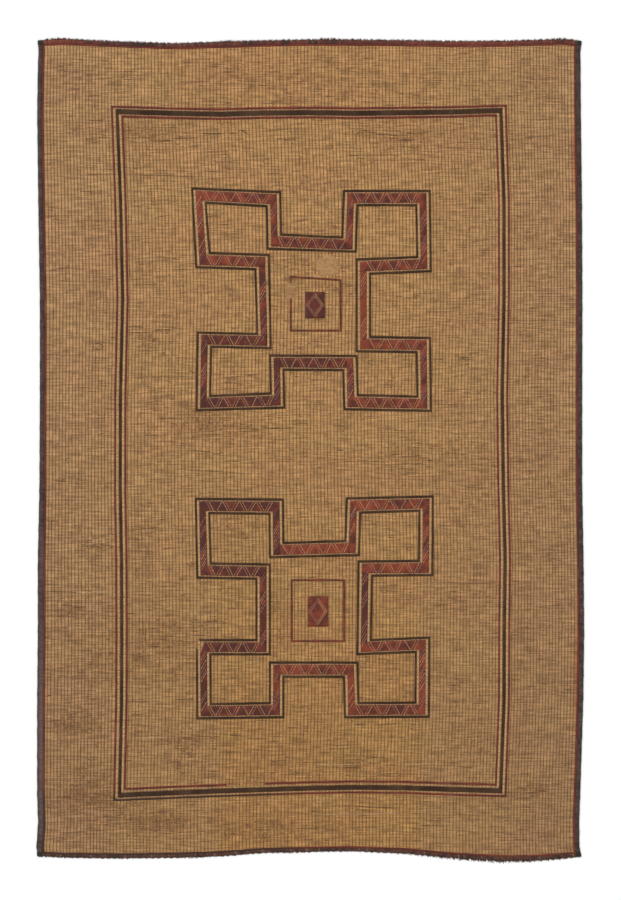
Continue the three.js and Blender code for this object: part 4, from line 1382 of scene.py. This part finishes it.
def reed_material(soiling):
    """Reeds: the tone changes from stem to stem and from cell to cell between the thongs, with a painted
    shadow along each thong, painted shade in the grooves between the reeds, streaks and thin cracks along the
    reeds, and dirt."""
    material, recipe, shader, place = new_material("weathered_reeds", 0.8, 0.15)
    x, y, _ = recipe.parts(place)
    weave = recipe.put("ShaderNodeAttribute", attribute_name="weave").outputs["Vector"]
    thong, reed, _ = recipe.parts(weave)
    number = recipe.math("FLOOR", reed)
    cell = recipe.math("FLOOR", thong)

    # The painted shadow along each thong: the mask below is 0 at a thong and rises to 1 away from it
    half_way = recipe.math("FRACT", recipe.math("ADD", thong, 0.5))
    from_thong = recipe.math("ABSOLUTE", recipe.math("SUBTRACT", half_way, 0.5))
    out_of_thong_shadow = recipe.smooth(from_thong, 0.02, 0.26)
    # How close to the groove between two reeds, for the painted shade there
    from_middle = recipe.math("ABSOLUTE", recipe.math("SUBTRACT", recipe.math("FRACT", reed), 0.5))
    groove = recipe.smooth(from_middle, 0.28, 0.5)

    cell_place = recipe.vector(recipe.math("MULTIPLY", cell, 2.3), recipe.math("MULTIPLY", y, 24.0))
    cell_tone = recipe.noise(cell_place, 1.0, 2.0)
    slow_tone = recipe.noise(recipe.stretched(place, 1.7, 4.0), 1.0, 3.0)
    streaks = recipe.noise(recipe.stretched(place, 10.0, 150.0), 1.0, 3.0, 0.62)
    fibre = recipe.noise(recipe.stretched(place, 16.0, 420.0), 1.0, 3.0)

    light = recipe.mix(recipe.smooth(slow_tone, 0.38, 0.62), srgb(189, 150, 102), srgb(189, 147, 103))
    # Painted shadow: next to each thong the reeds are mixed towards this darker brown
    colour = recipe.mix(out_of_thong_shadow, srgb(134, 98, 63), light)
    # Painted shade: the reeds darken towards this brown in the grooves between them
    colour = recipe.mix(recipe.math("MULTIPLY", groove, 0.3), colour, srgb(104, 74, 46))
    tone = recipe.smooth(streaks, 0.3, 0.7, 0.60, 1.20)
    tone = recipe.math("MULTIPLY", tone, recipe.smooth(cell_tone, 0.3, 0.7, 0.86, 1.12))
    tone = recipe.math("MULTIPLY", tone, recipe.smooth(recipe.chance(number, 5.0), 0.0, 1.0, 0.93, 1.06))
    colour = recipe.mix(1.0, colour, recipe.vector(tone, tone, tone), "MULTIPLY")

    warm_x = recipe.math("MULTIPLY", recipe.smooth(x, -0.46, -0.36), recipe.smooth(x, 0.53, 0.44))
    warm_low = recipe.math("MULTIPLY", warm_x, recipe.smooth(y, -0.1, -1.2, 0.2, 1.0))
    middle = recipe.smooth(recipe.math("ABSOLUTE", x), 1.15, 0.55)
    warm = recipe.math("ADD", recipe.math("MULTIPLY", middle, 0.45), recipe.math("MULTIPLY", warm_low, 0.55))
    cool_reeds = recipe.mix(1.0, colour, (0.97, 0.95, 0.98, 1), "MULTIPLY")
    warm_reeds = recipe.mix(1.0, colour, (1.06, 0.97, 0.76, 1), "MULTIPLY")
    colour = recipe.mix(warm, cool_reeds, warm_reeds)

    # The reeds grow darker towards the bottom of the mat, and a little towards the right
    lower_right_darkening = recipe.smooth(y, 0.9, -1.7, 0.96, 0.81)
    lower_right_darkening = recipe.math("MULTIPLY", lower_right_darkening, recipe.smooth(x, 0.2, 0.9, 1.0, 0.97))
    colour = recipe.mix(1.0, colour, recipe.vector(lower_right_darkening, lower_right_darkening, lower_right_darkening), "MULTIPLY")

    stains = spots(recipe, place, STAINS)
    dirt = recipe.group(soiling, {"Place": place, "Amount": stains})["Mask"]
    soiled = recipe.mix(1.0, colour, (0.70, 0.62, 0.54, 1), "MULTIPLY")
    colour = recipe.mix(recipe.math("MULTIPLY", dirt, 0.5), colour, soiled)
    specks = recipe.smooth(recipe.noise(recipe.stretched(place, 130.0, 60.0), 1.0, 2.0, 0.6), 0.54, 0.66)
    grime = recipe.smooth(recipe.math("ADD", dirt, stains), 0.3, 1.2, 0.0, 0.75)
    speckled = recipe.math("MULTIPLY", specks, grime)
    colour = recipe.mix(speckled, colour, srgb(88, 64, 40))

    crowd = recipe.noise(recipe.stretched(place, 3.5, 8.0), 1.0, 3.0)
    crowd = recipe.math("ADD", crowd, recipe.math("MULTIPLY", stains, 0.15))
    cracks = recipe.noise(recipe.stretched(place, 15.0, 210.0), 1.0, 2.0, 0.6)
    cracked = recipe.math("ADD", cracks, recipe.smooth(crowd, 0.35, 0.7, -0.06, 0.07))
    colour = recipe.mix(recipe.smooth(cracked, 0.61, 0.70, 0.0, 0.7), colour, srgb(84, 58, 38))
    pale = recipe.math("SUBTRACT", 1.0, cracked)
    colour = recipe.mix(recipe.smooth(pale, 0.66, 0.76, 0.0, 0.4), colour, srgb(200, 168, 126))

    bled = recipe.mix(1.0, colour, (0.80, 0.42, 0.36, 1), "MULTIPLY")
    colour = recipe.mix(spots(recipe, place, BLEEDING), colour, bled)

    recipe.feed(shader["Base Color"], colour)
    bump(recipe, shader, recipe.math("ADD", fibre, recipe.math("MULTIPLY", out_of_thong_shadow, 0.5)), 0.35, 0.0012)
    return material


def thong_material(soiling):
    """Thin dark leather thongs, each changing in tone along its length, paler where they are worn."""
    material, recipe, shader, place = new_material("thong_leather", 0.65, 0.2)
    own = recipe.noise(recipe.stretched(place, 62.0, 22.0), 1.0, 3.0, 0.6)
    colour = recipe.mix(recipe.smooth(own, 0.34, 0.66), srgb(104, 72, 45), srgb(144, 107, 70))
    worn = recipe.noise(recipe.stretched(place, 60.0, 6.0), 1.0, 3.0)
    colour = recipe.mix(recipe.smooth(worn, 0.52, 0.78, 0.0, 0.6), colour, srgb(148, 112, 74))
    x, _, _ = recipe.parts(place)
    border = recipe.smooth(recipe.math("ABSOLUTE", x), 0.84, 0.9)
    colour = recipe.mix(recipe.math("MULTIPLY", border, 0.35), colour, srgb(106, 58, 40))
    dirt = recipe.group(soiling, {"Place": place, "Amount": 0.1})["Mask"]
    colour = recipe.mix(recipe.math("MULTIPLY", dirt, 0.4), colour, srgb(62, 44, 30))
    recipe.feed(shader["Base Color"], colour)
    bump(recipe, shader, recipe.noise(place, 700.0, 3.0), 0.3, 0.0004)
    return material


# Where the red leather is more of a brick colour than the rest of its block, and below 0 where it is more
# of a plum
SHADE_PLACES = table("x y reach_x reach_y strength", [
    (-480, 1110, 110, 110, 0.4),
    (-215, 905, 60, 70, -0.5),
    (226, 836, 70, 70, 0.5),
    (234, 467, 70, 50, 0.5),
    (240, -690, 60, 80, -0.3),
    (-160, -1050, 70, 160, 0.5),
    (190, -1050, 70, 160, 0.3),
    (350, -1155, 160, 50, -0.4),
    (280, -250, 120, 50, 0.3),
])


def red_leather_material(grain, soiling):
    """Red leather, each piece at its own place between plum and brick, with rubbed pale flecks and dark
    dirt."""
    material, recipe, shader, place = new_material("red_leather_worn", 0.55, 0.25)
    leather = recipe.group(grain, {"Place": place, "Scale": 1.0})
    own = recipe.put("ShaderNodeAttribute", attribute_name="shade").outputs["Fac"]
    shade = recipe.math("ADD", own, spots(recipe, place, SHADE_PLACES))
    mottled = recipe.noise(place, 24.0, 5.0, 0.65)
    shade = recipe.math("ADD", shade, recipe.smooth(mottled, 0.33, 0.67, -0.45, 0.45))
    shade = recipe.math("ADD", shade, recipe.smooth(leather["Tone"], 0.3, 0.7, -0.2, 0.2), clamp=True)
    colour = recipe.mix(recipe.smooth(shade, 0.0, 0.55), srgb(76, 34, 27), srgb(98, 43, 28))
    colour = recipe.mix(recipe.smooth(shade, 0.45, 1.0), colour, srgb(126, 55, 33))
    colour = recipe.mix(recipe.math("MULTIPLY", leather["Rubbed"], 0.28), colour, srgb(138, 84, 64))
    dirt = recipe.group(soiling, {"Place": place, "Amount": 0.3})["Mask"]
    colour = recipe.mix(recipe.math("MULTIPLY", dirt, 0.5), colour, srgb(58, 28, 24))
    recipe.feed(shader["Base Color"], colour)
    recipe.feed(shader["Roughness"], recipe.smooth(leather["Rubbed"], 0.0, 1.0, 0.5, 0.75))
    bump(recipe, shader, leather["Height"], 0.5, 0.0006)
    return material


# Where the frame's outer bottom line lies, in metres: its left half is nearly black
OUTER_LINE_Y = -1.53


def thin_red_material(grain):
    """The thin red strips: browner, and faded to the reeds' colour in places."""
    material, recipe, shader, place = new_material("thin_red_leather", 0.6, 0.2)
    leather = recipe.group(grain, {"Place": place, "Scale": 1.6})
    colour = recipe.mix(recipe.smooth(leather["Tone"], 0.35, 0.65), srgb(86, 36, 30), srgb(112, 46, 34))
    fading = recipe.noise(recipe.stretched(place, 7.0, 7.0), 1.0, 4.0)
    colour = recipe.mix(recipe.smooth(fading, 0.58, 0.82, 0.0, 0.5), colour, srgb(144, 98, 70))
    colour = recipe.mix(recipe.math("MULTIPLY", leather["Rubbed"], 0.35), colour, srgb(140, 92, 72))
    x, y, _ = recipe.parts(place)
    at_left = recipe.smooth(x, 0.1, -0.3)
    at_line = recipe.smooth(y, OUTER_LINE_Y + 0.03, OUTER_LINE_Y)
    darkened = recipe.math("MULTIPLY", at_left, at_line)
    colour = recipe.mix(recipe.math("MULTIPLY", darkened, 0.9), colour, srgb(56, 41, 31))
    recipe.feed(shader["Base Color"], colour)
    bump(recipe, shader, leather["Height"], 0.5, 0.0005)
    return material


def dark_leather_material(grain):
    """Nearly black brown leather, scuffed brown where it is rubbed."""
    material, recipe, shader, place = new_material("dark_leather_worn", 0.6, 0.1)
    leather = recipe.group(grain, {"Place": place, "Scale": 1.2})
    colour = recipe.mix(recipe.smooth(leather["Tone"], 0.35, 0.7), srgb(52, 36, 24), srgb(76, 54, 37))
    colour = recipe.mix(recipe.math("MULTIPLY", leather["Rubbed"], 0.35), colour, srgb(112, 88, 66))
    recipe.feed(shader["Base Color"], colour)
    recipe.feed(shader["Roughness"], recipe.smooth(leather["Rubbed"], 0.0, 1.0, 0.5, 0.75))
    bump(recipe, shader, leather["Height"], 0.5, 0.0006)
    return material


# Where the top binding is nearly black, where it is brick red, and where the left one is pale
TOP_DARK_PLACES = table("x y reach_x reach_y strength", [
    (-767, 1820, 170, 80, 0.9),
    (-262, 1820, 60, 80, 0.7),
    (-108, 1820, 35, 80, 0.8),
    (12, 1820, 30, 80, 0.8),
    (110, 1820, 70, 80, 0.7),
    (555, 1820, 60, 80, 0.4),
])
TOP_BRICK_PLACES = table("x y reach_x reach_y strength", [
    (-1110, 1820, 150, 80, 0.9),
    (700, 1820, 560, 80, 0.8),
])
LEFT_PALE_PLACES = table("x y reach_x reach_y strength", [
    (-1192, -1250, 24, 700, 0.9),
    (-1190, -500, 20, 200, 0.5),
])

# The bindings' leathers: the dark and the light tone, the colour of the scuffs and how far they spread, and
# the stretches of other colours
BINDING_LEATHERS = {
    "left_binding_leather": [(54, 41, 37), (78, 61, 54), (112, 92, 86), 0.03,
                             {(104, 84, 78): LEFT_PALE_PLACES}],
    "right_binding_leather": [(48, 36, 30), (72, 56, 48), (100, 88, 80), -0.02, {}],
    "top_binding_leather": [(70, 38, 32), (104, 54, 42), (150, 104, 86), -0.02,
                            {(124, 60, 44): TOP_BRICK_PLACES, (46, 34, 30): TOP_DARK_PLACES}],
    "bottom_binding_leather": [(50, 33, 26), (90, 56, 40), (132, 98, 76), -0.02, {}],
    "corner_leather": [(28, 28, 22), (44, 42, 34), (70, 66, 56), -0.05, {}],
}


def binding_material(grain, name, dark, light, scuff, scuffs, patches):
    """Binding leather mottled between two tones, with scuffs of a third, and stretches of other colours."""
    material, recipe, shader, place = new_material(name, 0.6, 0.25)
    leather = recipe.group(grain, {"Place": place, "Scale": 2.2})
    mottled = recipe.noise(place, 34.0, 5.0, 0.65)
    colour = recipe.mix(recipe.smooth(mottled, 0.38, 0.62), srgb(*dark), srgb(*light))
    for tint, places in patches.items():
        colour = recipe.mix(spots(recipe, place, places), colour, srgb(*tint))
    scuffed = recipe.smooth(recipe.noise(place, 75.0, 5.0, 0.7), 0.66 - scuffs, 0.84 - scuffs)
    colour = recipe.mix(recipe.math("MULTIPLY", scuffed, 0.6), colour, srgb(*scuff))
    recipe.feed(shader["Base Color"], colour)
    recipe.feed(shader["Roughness"], recipe.smooth(scuffed, 0.0, 1.0, 0.5, 0.8))
    bump(recipe, shader, leather["Height"], 0.6, 0.0008)
    return material


def thread_material():
    """Stitches in each one's own colour, a little uneven and dirty."""
    material, recipe, shader, place = new_material("lace_and_thread", 0.7, 0.2)
    own = recipe.put("ShaderNodeAttribute", attribute_name="thread").outputs["Color"]
    uneven = recipe.noise(place, 60.0, 4.0, 0.7)
    dirty = recipe.mix(1.0, own, (0.55, 0.42, 0.38, 1), "MULTIPLY")
    colour = recipe.mix(recipe.smooth(uneven, 0.4, 0.75, 0.0, 0.65), own, dirty)
    recipe.feed(shader["Base Color"], colour)
    bump(recipe, shader, recipe.noise(place, 1400.0, 2.0), 0.3, 0.0003)
    return material


# Floor, light and camera

# The camera: its height in metres, its lens and sensor in millimetres, and how far to the right of the
# plan's middle the photograph's middle is
CAMERA_HEIGHT = 11.125
LENS = 100
SENSOR = 36
CAMERA_RIGHT = 0.9
FLOOR_REACH = 30.0
SURROUND_STRENGTH = 0.74
SUN_STRENGTH = 1.45
SUN_ANGLE = 0.35
SUN_PLACE = (-3.6, 3.6, 5.0)


def make_camera():
    """Straight above the mat, as the photograph was taken."""
    data = bpy.data.cameras.new("camera")
    data.lens = LENS
    data.sensor_width = SENSOR
    camera = bpy.data.objects.new("camera", data)
    x, y = (PLAN_CENTRE + [CAMERA_RIGHT, 0]) * MM
    camera.location = (x, y, CAMERA_HEIGHT)
    bpy.context.scene.collection.objects.link(camera)
    bpy.context.scene.camera = camera


def make_floor():
    """A plain pale floor a little under the mat."""
    half = FLOOR_REACH
    corners = [(-half, -half, 0), (half, -half, 0), (half, half, 0), (-half, half, 0)]
    mesh = bpy.data.meshes.new("floor")
    mesh.from_pydata(corners, [], [(0, 1, 2, 3)])
    floor = bpy.data.objects.new("floor", mesh)
    material, _, shader, _ = new_material("pale_floor", 0.9, 0.0)
    shader["Base Color"].default_value = (0.96, 0.96, 0.96, 1)
    mesh.materials.append(material)
    bpy.context.scene.collection.objects.link(floor)


def make_light():
    """An even white surround, and a soft low sun from the upper left that gives the relief some shade."""
    world = bpy.data.worlds.new("surround")
    world.use_nodes = True
    background = world.node_tree.nodes["Background"].inputs
    background["Color"].default_value = (1, 1, 1, 1)
    background["Strength"].default_value = SURROUND_STRENGTH
    bpy.context.scene.world = world
    lamp = bpy.data.lights.new("soft_sun", "SUN")
    lamp.energy = SUN_STRENGTH
    lamp.angle = SUN_ANGLE
    piece = bpy.data.objects.new("soft_sun", lamp)
    piece.location = SUN_PLACE
    piece.rotation_euler = (-piece.location).to_track_quat("-Z", "Y").to_euler()
    bpy.context.scene.collection.objects.link(piece)
    bpy.context.scene.view_settings.view_transform = "Standard"


make_camera()
make_floor()
make_light()

grain = leather_grain_group()
soiling = soiling_group()
reeds = reed_material(soiling)
thongs = thong_material(soiling)
red = red_leather_material(grain, soiling)
thin_red = thin_red_material(grain)
dark = dark_leather_material(grain)
left_leather, right_leather, top_leather, bottom_leather, cap_leather = (
    binding_material(grain, name, *look) for name, look in BINDING_LEATHERS.items())
thread = thread_material()

field = reed_field(reeds)
thong_lines(thongs)
reed_marks(thread)
thong_curls(thread)
new_reeds(thread)
edge_lines(thin_red)
frame_strips(thin_red, dark)
for cross in CROSSES:
    corners, normals = cross_corners(cross)
    red_leather_of(cross, corners, normals, red)
    outlines_of(cross, corners, normals, dark)
    centre_of(cross, red)
    embroidery_of(cross, corners, normals, thread)
frame_seams(thread)
small_mends(thread)
side_bindings(left_leather, right_leather, thread)
end_bindings(top_leather, bottom_leather, thread)
tufts(thread)
corner_caps(cap_leather)
